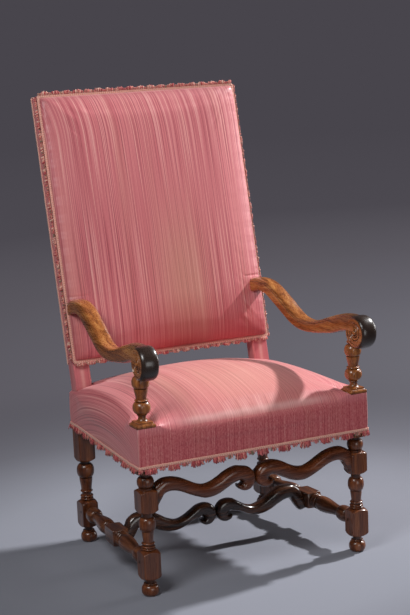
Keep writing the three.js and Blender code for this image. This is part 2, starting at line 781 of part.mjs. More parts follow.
// Scrolled stretchers. Sections of a half band as shares of the half span, rise and band depth
const frontBandShares = [
  [1, -0.12, 1.75], [0.957, 0.24, 1.35], [0.923, 0.45, 1.08], [0.89, 0.51, 1],
  [0.823, 0.5, 0.95], [0.745, 0.35, 0.975], [0.664, 0.085, 0.975], [0.586, -0.16, 0.925],
  [0.515, -0.305, 0.95], [0.449, -0.28, 1.02], [0.371, -0.11, 1.12], [0.297, 0.146, 1.16],
  [0.23, 0.34, 1.1], [0.167, 0.427, 1.02], [0.12, 0.45, 0.95],
];
const crossBandShares = [
  [1, -0.5, 0.89], [0.966, -0.365, 1.28], [0.944, -0.176, 1.61], [0.917, 0.02, 1.57],
  [0.876, 0.318, 1.29], [0.846, 0.507, 1.01], [0.77, 0.52, 1.04], [0.71, 0.4, 1.125],
  [0.608, 0.034, 1.1], [0.517, -0.243, 0.89], [0.415, -0.331, 0.68], [0.347, -0.19, 0.64],
  [0.26, 0.135, 0.69], [0.189, 0.345, 0.85], [0.136, 0.42, 0.89],
];
const bandOutlineShares = [
  [0.5, 1], [-0.5, 1], [-1, 0.45], [-1, -0.45], [-0.5, -1], [0.5, -1], [1, -0.45], [1, 0.45],
];
// The hollow of a scroll's eye, and how far the scroll shrinks towards its tip
const eyeShares = [[0.4, -0.31], [0.247, -0.377], [0.143, -0.31], [0.143, -0.18], [0.27, -0.08], [0.48, -0.03]];
const tipRadiusShare = 0.675;
const scrollStart = THREE.MathUtils.degToRad(70);
const scrollTurn = THREE.MathUtils.degToRad(257);
const scrollSteps = 14;
function scrollGeometry(hand, radius, thickness) {
  const outline = [];
  for (let i = 0; i <= scrollSteps; i += 1) {
    const angle = scrollStart + (scrollTurn * i) / scrollSteps;
    const late = Math.max(0, (angle - halfTurn) / (scrollStart + scrollTurn - halfTurn));
    const reach = radius * (1 - (1 - tipRadiusShare) * late * late);
    outline.push(new THREE.Vector2(hand * reach * Math.cos(angle), reach * Math.sin(angle)));
  }
  for (const [x, z] of eyeShares) outline.push(new THREE.Vector2(hand * x * radius, z * radius));
  const faceShare = 1 - scrollBevel / radius;
  const layers = [[-thickness / 2, faceShare], [scrollBevel - thickness / 2, 1]];
  const rings = [...layers, ...layers.map(([depth, share]) => [-depth, share]).reverse()]
    .map(([depth, share]) => outline.map(({ x, y }) => [x * share, depth, y * share]));
  return loft(rings, false, THREE.ShapeUtils.triangulateShape(outline, []));
}
function scrolledBar({ halfSpan, y, z, rise, bandShares, bandDepth, thickness, radius, offset }) {
  const halves = [-1, 1].map((hand) => {
    const rings = bandShares.map(([out, up, deep]) => bandOutlineShares.map(([across, height]) => [
      hand * out * halfSpan,
      y + (across * thickness) / 2,
      z + up * rise + (height * deep * bandDepth) / 2,
    ]));
    const scroll = scrollGeometry(hand, radius, thickness);
    scroll.translate(hand * offset, y, z);
    return solidFrom(loft(rings)).add(solidFrom(scroll));
  });
  return halves[0].add(halves[1]);
}
function frontStretcher() {
  const body = scrolledBar({
    halfSpan: frontX - blockHalf - fitGap,
    y: 0,
    z: upperBlockMiddle + frontStretcherLift,
    rise: frontStretcherRise,
    bandShares: frontBandShares,
    bandDepth: frontBandDepth,
    thickness: frontStretcherThickness,
    radius: frontScrollRadius,
    offset: frontScrollOffset,
  });
  return subtractAll(body.add(frontStretcherTenons(0)), [
    frontStretcherPeg(-1, fitGap), frontStretcherPeg(1, fitGap),
  ]);
}
function crossStretcher() {
  const body = scrolledBar({
    halfSpan: sideBlockInnerX + cutOverrun,
    y: legDepthSpacing / 2,
    z: lowerBlockMiddle + crossStretcherLift,
    rise: crossStretcherRise,
    bandShares: crossBandShares,
    bandDepth: crossBandDepth,
    thickness: crossStretcherThickness,
    radius: crossScrollRadius,
    offset: crossScrollOffset,
  });
  const tenoned = subtractAll(body, [sideBlock(-1, fitGap), sideBlock(1, fitGap)]).add(crossTenons(0));
  return subtractAll(tenoned, [crossPeg(-1, fitGap), crossPeg(1, fitGap)]);
}

// Seat rails
function crossRail(x, y, tenons, cutters) {
  const reach = x - rebatedHalf - fitGap;
  const half = railThickness / 2;
  const body = block(-reach, reach, y - half, y + half, railBottomZ, railTopZ);
  return subtractAll(body.add(tenons), cutters);
}
function sideRail(side) {
  const outer = [
    [frontX + rebatedHalf, rebatedHalf + fitGap],
    [rearX + rebatedHalf, legDepthSpacing - rebatedHalf - fitGap],
  ];
  const inner = outer.map(([x, y]) => [x - railThickness, y]).reverse();
  const outline = [...outer, ...inner].map(([x, y]) => [side * x, y]);
  const pegs = railPegs(side, fitGap);
  return slab(outline, railBottomZ, upperWebZ - fitGap)
    .add(sideRailTenons(side, 0))
    .subtract(pegs.side_front)
    .subtract(pegs.side_rear);
}
function backRail(bottom) {
  const reach = stileInnerX - fitGap;
  const frontY = backWebY;
  return rakedBlock(-reach, reach, frontY, frontY + backRailThickness, bottom, bottom + backRailHeight)
    .add(backRailTenons(bottom, 0));
}

// Webbing, nailed to the rails: one layer along, the next across
const spread = (count, from, to) => (
  Array.from({ length: count }, (unused, i) => from + ((to - from) * (i + 0.5)) / count)
);
const halfStrap = strapWidth / 2;
const seatStrapX = spread(seatStrapsAlong, rebatedHalf - rearX, rearX - rebatedHalf);
const seatStrapY = spread(seatStrapsAcross, rebatedHalf, legDepthSpacing - rebatedHalf);
const seatStrapAlong = (x) => block(
  x - halfStrap, x + halfStrap,
  strapEndInset - rebatedHalf, legDepthSpacing + rebatedHalf - strapEndInset,
  lowerWebZ, lowerWebZ + webThickness,
);
function seatStrapAcross(y) {
  const reach = seatHalfWidth(y + halfStrap, coverGap + strapEndInset);
  return block(-reach, reach, y - halfStrap, y + halfStrap, upperWebZ, upperWebZ + webThickness);
}
const armEndRakedTop = armEndRakedZ + (armRise * (armEndTopShare - armEndBottomShare)) / 2 + cutOverrun;
const armEndRakedBottom = 2 * armEndRakedZ - armEndRakedTop;
const backRailTop = backRailBottom + backRailHeight;
const backStrapZ = [
  ...spread(1, backRailTop, armEndRakedBottom),
  ...spread(backUpperStraps, armEndRakedTop, topRailBottom),
];
const backStrapX = spread(backStrapsUp, -stileInnerX, stileInnerX);
function backStrapAcross(z) {
  const reach = stileOuterX - strapEndInset;
  return rakedBlock(-reach, reach, backWebY, -fitGap, z - halfStrap, z + halfStrap);
}
const backStrapUp = (x) => rakedBlock(
  x - halfStrap, x + halfStrap,
  backOuterWebY, backWebY - fitGap,
  backRailBottom + strapEndInset, stileTop - strapEndInset,
);

// Holes that the posts and their sleeves need in the seat's soft layers
function frontPostHoles(side) {
  const x = side * frontX;
  return column(x, 0, rebatedHalf + fitGap, railTopZ, plinthZ)
    .add(block(
      side > 0 ? x - halfSide - fitGap : x - halfSide - cutOverrun,
      side > 0 ? x + halfSide + cutOverrun : x + halfSide + fitGap,
      -halfSide - cutOverrun, halfSide + fitGap,
      plinthZ - fitGap, armUnderZ,
    ));
}
function rearPostHoles(side) {
  const sleeve = sidewaysBlock(
    side, stileInnerX - coverGap - fitGap, backHalf + fitGap,
    -coverGap - fitGap, stileDepth + coverGap + fitGap,
    0, sleeveStart + seatCrown + seatSideHeight,
  );
  return column(side * rearX, legDepthSpacing, rebatedHalf + fitGap, railTopZ, rakeZ + fitGap)
    .add(sleeve);
}
const postHoles = [-1, 1].flatMap((side) => [frontPostHoles(side), rearPostHoles(side)]);

// Seat pads and cover. Rows lie closer where the edge rolls over
const cornerRowShares = [0, 0.15, 0.5, 1];
const middleRowShares = [0.2, 0.5, 0.8];
function seatRows(inset) {
  const front = seatFrontY + inset;
  const rearStart = legDepthSpacing - halfSide;
  const rear = seatRearY - inset;
  return [
    ...cornerRowShares.map((share) => front + share * (halfSide - front)),
    ...middleRowShares.map((share) => halfSide + share * (rearStart - halfSide)),
    ...cornerRowShares.map((share) => rear + share * (rearStart - rear)).reverse(),
  ];
}
const seatPad = (inset, base) => crownedPad({
  rows: seatRows(inset),
  halfWidth: (y) => seatHalfWidth(y, inset),
  base,
  edge: seatEdgeZ - inset,
  crown: seatCrown,
  place: (x, y, z) => [x, y, z],
});
const seatHessian = () => subtractAll(
  slab(seatPlan(coverGap), hessianZ, hessianZ + hessianThickness), postHoles,
);
const seatStuffing = () => subtractAll(seatPad(coverGap, seatStuffingZ), postHoles);
function seatCover() {
  const shell = seatPad(0, hemZ).subtract(seatPad(coverThickness, hemZ - cutOverrun));
  const holes = [-1, 1].flatMap((side) => [
    frontPostHoles(side).intersect(column(side * frontX, 0, legWidth, plinthZ - fitGap, armUnderZ)),
    rearPostHoles(side),
  ]);
  return subtractAll(shell, holes);
}

// Back pads and covers, in the raked frame
const backRowShares = [0, 0.02, 0.08, 0.25, 0.5, 0.75, 0.92, 0.98, 1];
const backPad = (inset, base) => crownedPad({
  rows: backRowShares.map((share) => (
    backPanelStart + inset + share * (backPanelHeight - 2 * inset)
  )),
  halfWidth: () => backHalf - inset,
  base,
  edge: backMargin - inset,
  crown: backCrown,
  place: (x, up, out) => new THREE.Vector3(x, -out, up).applyMatrix4(backPlacing).toArray(),
});
const armHoles = [-1, 1].map((side) => armBand(side, fitGap));
const backHessian = () => subtractAll(
  rakedBlock(
    coverGap - backHalf, backHalf - coverGap,
    backHessianY, backHessianY + hessianThickness, backRailBottom, stileTop,
  ),
  armHoles,
);
const backStuffing = () => subtractAll(backPad(coverGap, fitGap - backHessianY), armHoles);
function backCover() {
  const shell = backPad(0, -stileDepth).subtract(backPad(coverThickness, -stileDepth - cutOverrun));
  const passages = [-1, 1].map((side) => sidewaysBlock(
    side, stileInnerX - fitGap, stileOuterX + fitGap,
    -fitGap, stileDepth + cutOverrun,
    backPanelStart - cutOverrun, backPanelStart + coverGap,
  ));
  return subtractAll(shell, [...armHoles, ...passages]);
}
const backRearCover = () => rakedBlock(
  -backHalf, backHalf, stileDepth + fitGap, stileDepth + coverGap, backPanelStart, backTop,
);
function stileSleeve(side) {
  const outer = sidewaysBlock(
    side, stileInnerX - coverGap, backHalf,
    -coverGap, stileDepth + coverGap, sleeveStart, backPanelStart - fitGap,
  );
  return outer.subtract(sidewaysBlock(
    side, stileInnerX - fitGap, stileOuterX + fitGap,
    -fitGap, stileDepth + fitGap, 0, backPanelStart,
  ));
}

// Braid with its tufted fringe, as a ring whose free edge steps in and out with the tufts
function fringeStations(corners) {
  return corners.flatMap(([x, y], i) => {
    const [nextX, nextY] = corners[(i + 1) % corners.length];
    const steps = 2 * Math.max(1, Math.round(Math.hypot(nextX - x, nextY - y) / tuftSpacing));
    return Array.from({ length: steps }, (unused, j) => ({ edge: i, share: j / steps, tuft: j % 2 === 1 }));
  });
}
function between(corners, { edge, share }) {
  const [x0, y0] = corners[edge];
  const [x1, y1] = corners[(edge + 1) % corners.length];
  return [x0 + (x1 - x0) * share, y0 + (y1 - y0) * share];
}
function seatFringe() {
  const inner = seatPlan(-fitGap);
  const outer = seatPlan(-fitGap - fringeThickness);
  const rings = fringeStations(inner).map((station) => {
    const low = hemZ - fringeDrop + (station.tuft ? 0 : tuftDrop);
    const high = hemZ + braidWidth;
    const near = between(inner, station);
    const far = between(outer, station);
    return [[...near, low], [...far, low], [...far, high], [...near, high]];
  });
  return solidFrom(loft(rings, true));
}
// The back panel's corners, from the lower left, with an outward offset
const backCorners = (offset) => [
  [-backHalf - offset, backPanelStart - offset], [backHalf + offset, backPanelStart - offset],
  [backHalf + offset, backTop + offset], [-backHalf - offset, backTop + offset],
];
const toRaked = ([x, z], y) => new THREE.Vector3(x, y, z).applyMatrix4(backPlacing).toArray();
function backFringe() {
  const inner = backCorners(fitGap);
  const plain = backCorners(fitGap + fringeThickness);
  const reaching = backCorners(fitGap + backFringeReach);
  const hanging = backCorners(fitGap + backFringeHang);
  const y0 = -backMargin - braidProud;
  const rings = fringeStations(inner).map((station) => {
    const tufted = station.edge === 0 ? hanging : reaching;
    const outline = station.tuft ? tufted : plain;
    const near = between(inner, station);
    const far = station.share === 0 ? between(plain, station) : between(outline, station);
    return [toRaked(near, y0), toRaked(far, y0), toRaked(far, y0 + braidWidth), toRaked(near, y0 + braidWidth)];
  });
  return solidFrom(loft(rings, true));
}
function backRearBraid() {
  const y0 = stileDepth + coverGap - braidWidth;
  const path = (offset) => {
    const [lowLeft, lowRight, highRight, highLeft] = backCorners(offset);
    return [[lowLeft[0], backPanelStart], highLeft, highRight, [lowRight[0], backPanelStart]];
  };
  const inner = path(fitGap);
  const outer = path(fitGap + rearBraidThickness);
  const rings = inner.map((near, i) => [
    toRaked(near, y0), toRaked(outer[i], y0),
    toRaked(outer[i], y0 + braidWidth), toRaked(near, y0 + braidWidth),
  ]);
  return solidFrom(loft(rings));
}

// The assembled chair
const chair = new THREE.Group();
function add(name, solid, material) {
  const mesh = new THREE.Mesh(geometryFrom(solid), material);
  mesh.name = name;
  chair.add(mesh);
}
const sides = [['left', -1], ['right', 1]];

add('front_stretcher', frontStretcher(), walnut);
add('cross_stretcher', crossStretcher(), walnut);
add('seat_rail_front', crossRail(frontX, -railInset, frontRailTenons(0),
  sides.map(([, side]) => railPegs(side, fitGap).front)), beech);
add('seat_rail_rear', crossRail(rearX, legDepthSpacing + railInset, rearRailTenons(0),
  sides.map(([, side]) => railPegs(side, fitGap).rear)), beech);
add('back_rail_top', backRail(topRailBottom), beech);
add('back_rail_bottom', backRail(backRailBottom), beech);
for (const [word, side] of sides) {
  add(`front_post_${word}`, frontPost(side), walnut);
  add(`rear_post_${word}`, rearPost(side), walnut);
  add(`side_stretcher_${word}`, sideStretcher(side), walnut);
  add(`seat_rail_${word}`, sideRail(side), beech);
  add(`arm_${word}`, arm(side), armWalnut);
  const [frontPeg, rearPeg] = sidePegs(side, 0);
  add(`side_stretcher_peg_front_${word}`, frontPeg, pegWood);
  add(`side_stretcher_peg_rear_${word}`, rearPeg, pegWood);
  add(`front_stretcher_peg_${word}`, frontStretcherPeg(side, 0), pegWood);
  add(`cross_stretcher_peg_${word}`, crossPeg(side, 0), pegWood);
  for (const [place, solid] of Object.entries(railPegs(side, 0))) {
    add(`seat_rail_peg_${place}_${word}`, solid, pegWood);
  }
  add(`stile_sleeve_${word}`, stileSleeve(side), silk);
}
seatStrapX.forEach((x, i) => add(`seat_strap_along_${i + 1}`, seatStrapAlong(x), jute));
seatStrapY.forEach((y, i) => add(`seat_strap_across_${i + 1}`, seatStrapAcross(y), jute));
backStrapX.forEach((x, i) => add(`back_strap_up_${i + 1}`, backStrapUp(x), jute));
backStrapZ.forEach((z, i) => add(`back_strap_across_${i + 1}`, backStrapAcross(z), jute));
add('seat_hessian', seatHessian(), hessian);
add('seat_stuffing', seatStuffing(), horsehair);
add('seat_cover', seatCover(), silk);
add('seat_fringe', seatFringe(), braid);
add('back_hessian', backHessian(), hessian);
add('back_stuffing', backStuffing(), horsehair);
add('back_cover', backCover(), silk);
add('back_rear_cover', backRearCover(), silk);
add('back_fringe', backFringe(), braid);
add('back_rear_braid', backRearBraid(), braid);

// The origin stands on the floor under the middle of the whole chair
const extent = new THREE.Box3().setFromObject(chair);
chair.position.y = -(extent.min.y + extent.max.y) / 2;

export default chair;
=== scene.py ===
import math

import bmesh
import bpy
import numpy as np
from mathutils import Matrix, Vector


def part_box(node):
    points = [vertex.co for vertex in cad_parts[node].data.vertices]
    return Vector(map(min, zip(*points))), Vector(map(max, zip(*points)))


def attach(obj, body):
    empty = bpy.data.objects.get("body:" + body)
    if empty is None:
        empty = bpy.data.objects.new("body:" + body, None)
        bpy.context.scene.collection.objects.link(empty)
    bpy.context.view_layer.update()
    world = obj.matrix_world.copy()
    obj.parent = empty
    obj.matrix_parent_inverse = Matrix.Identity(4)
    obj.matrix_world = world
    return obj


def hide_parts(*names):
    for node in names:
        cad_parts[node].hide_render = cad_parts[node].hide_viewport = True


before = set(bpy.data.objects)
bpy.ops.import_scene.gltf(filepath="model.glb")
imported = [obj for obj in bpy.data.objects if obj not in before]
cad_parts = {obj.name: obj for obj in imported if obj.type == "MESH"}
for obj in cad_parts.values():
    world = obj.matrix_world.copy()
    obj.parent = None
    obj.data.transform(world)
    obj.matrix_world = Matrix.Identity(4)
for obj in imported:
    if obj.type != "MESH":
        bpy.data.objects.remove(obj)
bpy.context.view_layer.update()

# Lengths are in millimetres, measured from the middle between the front legs' axes at floor level:
# X to the chair's right as seen from in front, Y to the rear, Z up. placed() turns them to metres.
MM = 0.001
post_low, post_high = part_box("front_post_left")
FRONT_LEG_Y = (post_low.y + post_high.y) / 2

# The legs' axes: half the distance between the front ones and between the rear ones, and the depth
FRONT_X, REAR_X, LEG_DEPTH = 295.0, 268.75, 458.0
# Half the side of a post's square stock: bare, let in under the hem, and at the seat's corners
BLOCK_HALF, REBATE_HALF, CORNER_HALF = 22.5, 23.2, 25.0
# Heights: the seat's hem, where its walls turn over, the underside and top of the front posts'
# plinths, and the underside of the arms at their supports
HEM_Z, SEAT_EDGE_Z, PLINTH_Z, PLINTH_TOP_Z, ARM_UNDER_Z = 324.0, 406.0, 424.0, 437.0, 586.0
# The seat's plan: its front and rear edges, half its width at each, and where the taper between
# the two starts and ends
SEAT_FRONT_Y, SEAT_REAR_Y = -25.0, 483.0
SEAT_FRONT_HALF, SEAT_REAR_HALF, SEAT_TAPER_Y, SEAT_TAPER_END_Y = 320.0, 293.75, 25.0, 433.0
# How far the seat's edges roll up and its dome rises above that, and the stuffing's underside
SEAT_ROLL, SEAT_CROWN, STUFFING_Z = 24.0, 57.0, 408.2
# The back's lean, its foot, and, up the lean from there, half its width, its foot edge and its top
RAKE = math.radians(13)
BACK_Y, BACK_Z = 434.8, 410.0
BACK_HALF, BACK_LOW, BACK_TOP = 290.0, 84.0, 798.0
# The back's cover: how far its flat border lies before the stiles, the border's width, its roll and
# its dome. Then the stiles: their depth, and how far out their inner and outer faces are
BACK_MARGIN, BACK_BORDER, BACK_ROLL, BACK_CROWN = 9.0, 6.5, 27.0, 17.0
STILE_DEPTH, STILE_IN, STILE_OUT = 34.0, 245.55, 288.2
# How far the hessian stops short of the edges of seat and back
HESSIAN_INSET = 2.0
BRAID_WIDTH = 7.5
TUFT_SPACING = 60.0
# Points round the outlines of seat and back
OUTLINE_COUNT = 900
random = np.random.default_rng(1690)


# ---------------------------------------------------------------- meshes
def placed(points):
    """Points in millimetres about the front legs' axes, as metres in the chair's frame."""
    return np.asarray(points, float) * MM + [0.0, FRONT_LEG_Y, 0.0]


def raked(points):
    """Points of the leaning back's own frame (X across, Y to its rear, Z up the rake), turned
    about X by the rake and moved to the foot of the back."""
    x, y, z = np.moveaxis(np.asarray(points, float), -1, 0)
    return np.stack([x, y * math.cos(RAKE) + z * math.sin(RAKE) + BACK_Y,
                     z * math.cos(RAKE) - y * math.sin(RAKE) + BACK_Z], -1)


def unraked(points):
    """The inverse of raked()."""
    x, y, z = np.moveaxis(np.asarray(points, float), -1, 0)
    y, z = y - BACK_Y, z - BACK_Z
    return np.stack([x, y * math.cos(RAKE) - z * math.sin(RAKE),
                     y * math.sin(RAKE) + z * math.cos(RAKE)], -1)


def skin(grid, ring=False, **values):
    """A closed shell over a grid of points whose columns run round it. The first and last rows
    are each closed by triangles to their own middle, or, for a ring, joined to each other.
    values are one number or vector for each point of the grid."""
    rows, columns = grid.shape[:2]
    r = np.arange(rows if ring else rows - 1)[:, None]
    c = np.arange(columns)[None, :]
    up, on = (r + 1) % rows, (c + 1) % columns
    quads = np.stack([r * columns + c, r * columns + on, up * columns + on, up * columns + c], -1)
    points = grid.reshape(-1, 3)
    kept = {k: np.asarray(v, float).reshape(rows * columns, -1) for k, v in values.items()}
    if ring:
        return points, quads.reshape(-1, 4), np.zeros((0, 3), int), kept
    start, end, last = rows * columns, rows * columns + 1, (rows - 1) * columns
    c, on = c[0], on[0]
    low = np.stack([np.full_like(c, start), on, c], -1)
    high = np.stack([np.full_like(c, end), last + c, last + on], -1)
    points = np.concatenate([points, grid[:1].mean(1), grid[-1:].mean(1)])
    kept = {k: np.concatenate([v, v[:columns].mean(0, keepdims=True),
                               v[last:].mean(0, keepdims=True)]) for k, v in kept.items()}
    return points, quads.reshape(-1, 4), np.concatenate([low, high]), kept


def joined(shells):
    """Several shells as one, their face indices moved on."""
    starts = np.cumsum([0] + [len(s[0]) for s in shells])
    names = shells[0][3]
    return (np.concatenate([s[0] for s in shells]),
            np.concatenate([s[1] + n for s, n in zip(shells, starts)]),
            np.concatenate([s[2] + n for s, n in zip(shells, starts)]),
            {k: np.concatenate([s[3][k] for s in shells]) for k in names})


def repeated(quads, triangles, values, copies):
    """A small shell's faces again for each of many copies, whose points are copies' rows."""
    count, size = copies.shape[:2]
    step = (np.arange(count) * size)[:, None, None]
    return (copies.reshape(-1, 3), (quads[None] + step).reshape(-1, 4),
            (triangles[None] + step).reshape(-1, 3), values)


def store(mesh, name, data):
    """A value for each vertex, kept on the mesh under a name that a material can read."""
    data = np.asarray(data, float)
    data = data.reshape(len(data), -1)
    kind, field = {1: ("FLOAT", "value"), 3: ("FLOAT_VECTOR", "vector"),
                   4: ("FLOAT_COLOR", "color")}[data.shape[1]]
    layer = mesh.attributes.new(name, kind, "POINT")
    layer.data.foreach_set(field, data.astype(np.float32).ravel())


def make(name, shell, finish, sharp=None, stands_for=()):
    """A piece from a shell in millimetres: its mesh, its vertex values, its finish, and its ties
    to the frame. sharp is the angle in degrees past which an edge stays crisp."""
    points, quads, triangles, values = shell
    mesh = bpy.data.meshes.new(name)
    mesh.from_pydata(placed(points), [], quads.tolist() + triangles.tolist())
    shape = bmesh.new()
    shape.from_mesh(mesh)
    bmesh.ops.recalc_face_normals(shape, faces=shape.faces)
    shape.to_mesh(mesh)
    shape.free()
    for key, data in values.items():
        store(mesh, key, data)
    mesh.shade_smooth()
    if sharp:
        mesh.set_sharp_from_angle(angle=math.radians(sharp))
    piece = bpy.data.objects.new(name, mesh)
    bpy.context.scene.collection.objects.link(piece)
    mesh.materials.append(finish)
    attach(piece, "root")
    if stands_for:
        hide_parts(*stands_for)
    return piece


def smooth_line(knots, count):
    """A cubic curve through the knots, whose slope at each is that between its neighbours, at
    count places evenly spaced along the chords."""
    knots = np.asarray(knots, float)
    run = np.concatenate([[0], np.cumsum(np.linalg.norm(np.diff(knots, axis=0), axis=1))])
    slope = np.gradient(knots, run, axis=0)
    at = np.linspace(0, run[-1], count)
    i = np.clip(np.searchsorted(run, at, side="right") - 1, 0, len(run) - 2)
    gap = (run[i + 1] - run[i])[:, None]
    t = (at - run[i])[:, None] / gap
    return (knots[i] * (1 + 2 * t) * (1 - t) ** 2 + slope[i] * gap * t * (1 - t) ** 2
            + knots[i + 1] * t * t * (3 - 2 * t) + slope[i + 1] * gap * t * t * (t - 1))


def along_path(corners, spacing=None, count=None, closed=True):
    """Places along a path of straight lines, every spacing millimetres or as many as count says,
    with the direction there, which line each lies on and how far along the path it is."""
    ends = np.roll(corners, -1, axis=0) if closed else corners[1:]
    starts = corners if closed else corners[:-1]
    lengths = np.linalg.norm(ends - starts, axis=1)
    run = np.concatenate([[0], np.cumsum(lengths)])
    at = np.linspace(0, run[-1], count or round(run[-1] / spacing), endpoint=not closed)
    i = np.clip(np.searchsorted(run, at, side="right") - 1, 0, len(lengths) - 1)
    way = (ends - starts) / lengths[:, None]
    return starts[i] + way[i] * (at - run[i])[:, None], way[i], i, at


def signed_power(values, power):
    """Each value's size raised to a power, with its own sign."""
    return np.sign(values) * np.abs(values) ** power


# ---------------------------------------------------------------- finishes
def hex_colour(code):
    """An sRGB hex colour as linear red, green, blue and alpha."""
    parts = [int(code[i:i + 2], 16) / 255 for i in (1, 3, 5)]
    return (*[c / 12.92 if c <= 0.04045 else ((c + 0.055) / 1.055) ** 2.4 for c in parts], 1.0)


def add(tree, kind, feeds=(), stops=(), **settings):
    """One node with its settings. feeds gives its inputs as values or as sockets to link, and
    stops gives a colour ramp its (place, hex colour) pairs."""
    made = tree.nodes.new(kind)
    for key, value in settings.items():
        setattr(made, key, value)
    for key, value in dict(feeds).items():
        if isinstance(value, bpy.types.NodeSocket):
            tree.links.new(value, made.inputs[key])
        else:
            made.inputs[key].default_value = value
    if stops:
        elements = made.color_ramp.elements
        elements.remove(elements[0])
        elements[0].position, elements[0].color = stops[0][0], hex_colour(stops[0][1])
        for place, code in stops[1:]:
            elements.new(place).color = hex_colour(code)
    return made


def new_finish(name, **principled):
    """A material with one Principled shader on its output."""
    material = bpy.data.materials.new(name)
    material.use_nodes = True
    tree = material.node_tree
    tree.nodes.clear()
    shader = add(tree, "ShaderNodeBsdfPrincipled", principled)
    add(tree, "ShaderNodeOutputMaterial", {"Surface": shader.outputs["BSDF"]})
    return material, tree, shader


def attribute(tree, name, output="Fac"):
    """A value that the mesh keeps for each vertex."""
    return add(tree, "ShaderNodeAttribute", attribute_name=name).outputs[output]


def noise(tree, place, scale, detail, shift=(0.0, 0.0, 0.0), distortion=0.0):
    """Smooth noise, whose patches are about 1 / scale wide along each axis of place."""
    moved = add(tree, "ShaderNodeMapping", {"Vector": place, "Location": shift, "Scale": scale})
    return add(tree, "ShaderNodeTexNoise", {"Vector": moved.outputs["Vector"], "Scale": 1.0,
        "Detail": detail, "Distortion": distortion}).outputs["Fac"]


def reckon(tree, operation, *values):
    """One sum over numbers or sockets."""
    return add(tree, "ShaderNodeMath", dict(enumerate(values)), operation=operation).outputs[0]


def weighed(tree, *pairs):
    """The sum of sockets, each times its weight."""
    total = reckon(tree, "MULTIPLY", *pairs[0])
    for value, weight in pairs[1:]:
        total = reckon(tree, "MULTIPLY_ADD", value, weight, total)
    return total


def spread(tree, value, low, high, to_low=0.0, to_high=1.0):
    """What lies from low to high, clamped there, carried to another range."""
    return add(tree, "ShaderNodeMapRange", {"Value": value, "From Min": low, "From Max": high,
        "To Min": to_low, "To Max": to_high}).outputs[0]


def ramp(tree, value, *stops):
    """The colour at a value between stops, pairs of a place and a hex colour."""
    return add(tree, "ShaderNodeValToRGB", {"Fac": value}, stops).outputs["Color"]


def laid_over(tree, share, under, over):
    """A share of one colour over another."""
    return add(tree, "ShaderNodeMix", {"Factor": share, "A": under, "B": over},
               data_type="RGBA").outputs["Result"]


def link_finish(tree, shader, colour, height, strength, depth, rough=None):
    """Links a finish's colour, relief and roughness. The relief is depth metres deep, times its
    strength."""
    bump = add(tree, "ShaderNodeBump", {"Height": height, "Strength": strength,
        "Distance": depth})
    tree.links.new(colour, shader.inputs["Base Color"])
    tree.links.new(bump.outputs["Normal"], shader.inputs["Normal"])
    if rough:
        tree.links.new(rough, shader.inputs["Roughness"])


def waxed_walnut(name, grain, dark, middle, light, roughness=0.3, patina=None, pale=None):
    """Walnut, turned or carved, stained and waxed: long dark figure and fine fibres along the
    grain, a soft wax gloss, and painted shade, near black, in the hollows, grooves and other shaded
    places. grain is the axis that the fibres follow, patina the colour that hands have left, and
    pale the three colours of wood that has bleached."""
    material, tree, shader = new_finish(name, **{"IOR": 1.5, "Coat Weight": 0.22,
        "Coat Roughness": 0.12})
    place = add(tree, "ShaderNodeTexCoord").outputs["Object"]
    # fibres 1.5 mm wide and about 40 mm long, figure 14 mm wide and 250 mm long
    fine, broad = [650.0] * 3, [70.0] * 3
    fine["xyz".index(grain)], broad["xyz".index(grain)] = 25.0, 4.0
    fibre = noise(tree, place, fine, 4.0)
    figure = noise(tree, place, broad, 3.0, distortion=0.6)
    mixed = weighed(tree, (figure, 0.62), (fibre, 0.38))
    colour = ramp(tree, mixed, (0.36, dark), (0.5, middle), (0.64, light))
    if pale:
        golden = ramp(tree, mixed, (0.36, pale[0]), (0.5, pale[1]), (0.64, pale[2]))
        colour = laid_over(tree, attribute(tree, "pale"), colour, golden)
    # painted shade: near black laid over the wood where its grime value is high
    colour = laid_over(tree, attribute(tree, "grime"), colour, hex_colour("#170c08"))
    if patina:
        # hands have worn the scrolls nearly black, in blotches 11 mm wide
        blotch = noise(tree, place, [90.0] * 3, 3.0)
        worn = reckon(tree, "MULTIPLY_ADD", blotch, 0.5, attribute(tree, "patina"))
        colour = laid_over(tree, spread(tree, worn, 0.5, 1.1), colour, hex_colour(patina))
    rough = spread(tree, fibre, 0.3, 0.7, roughness - 0.05, roughness + 0.09)
    link_finish(tree, shader, colour, mixed, 0.16, 0.0006, rough)
    return material


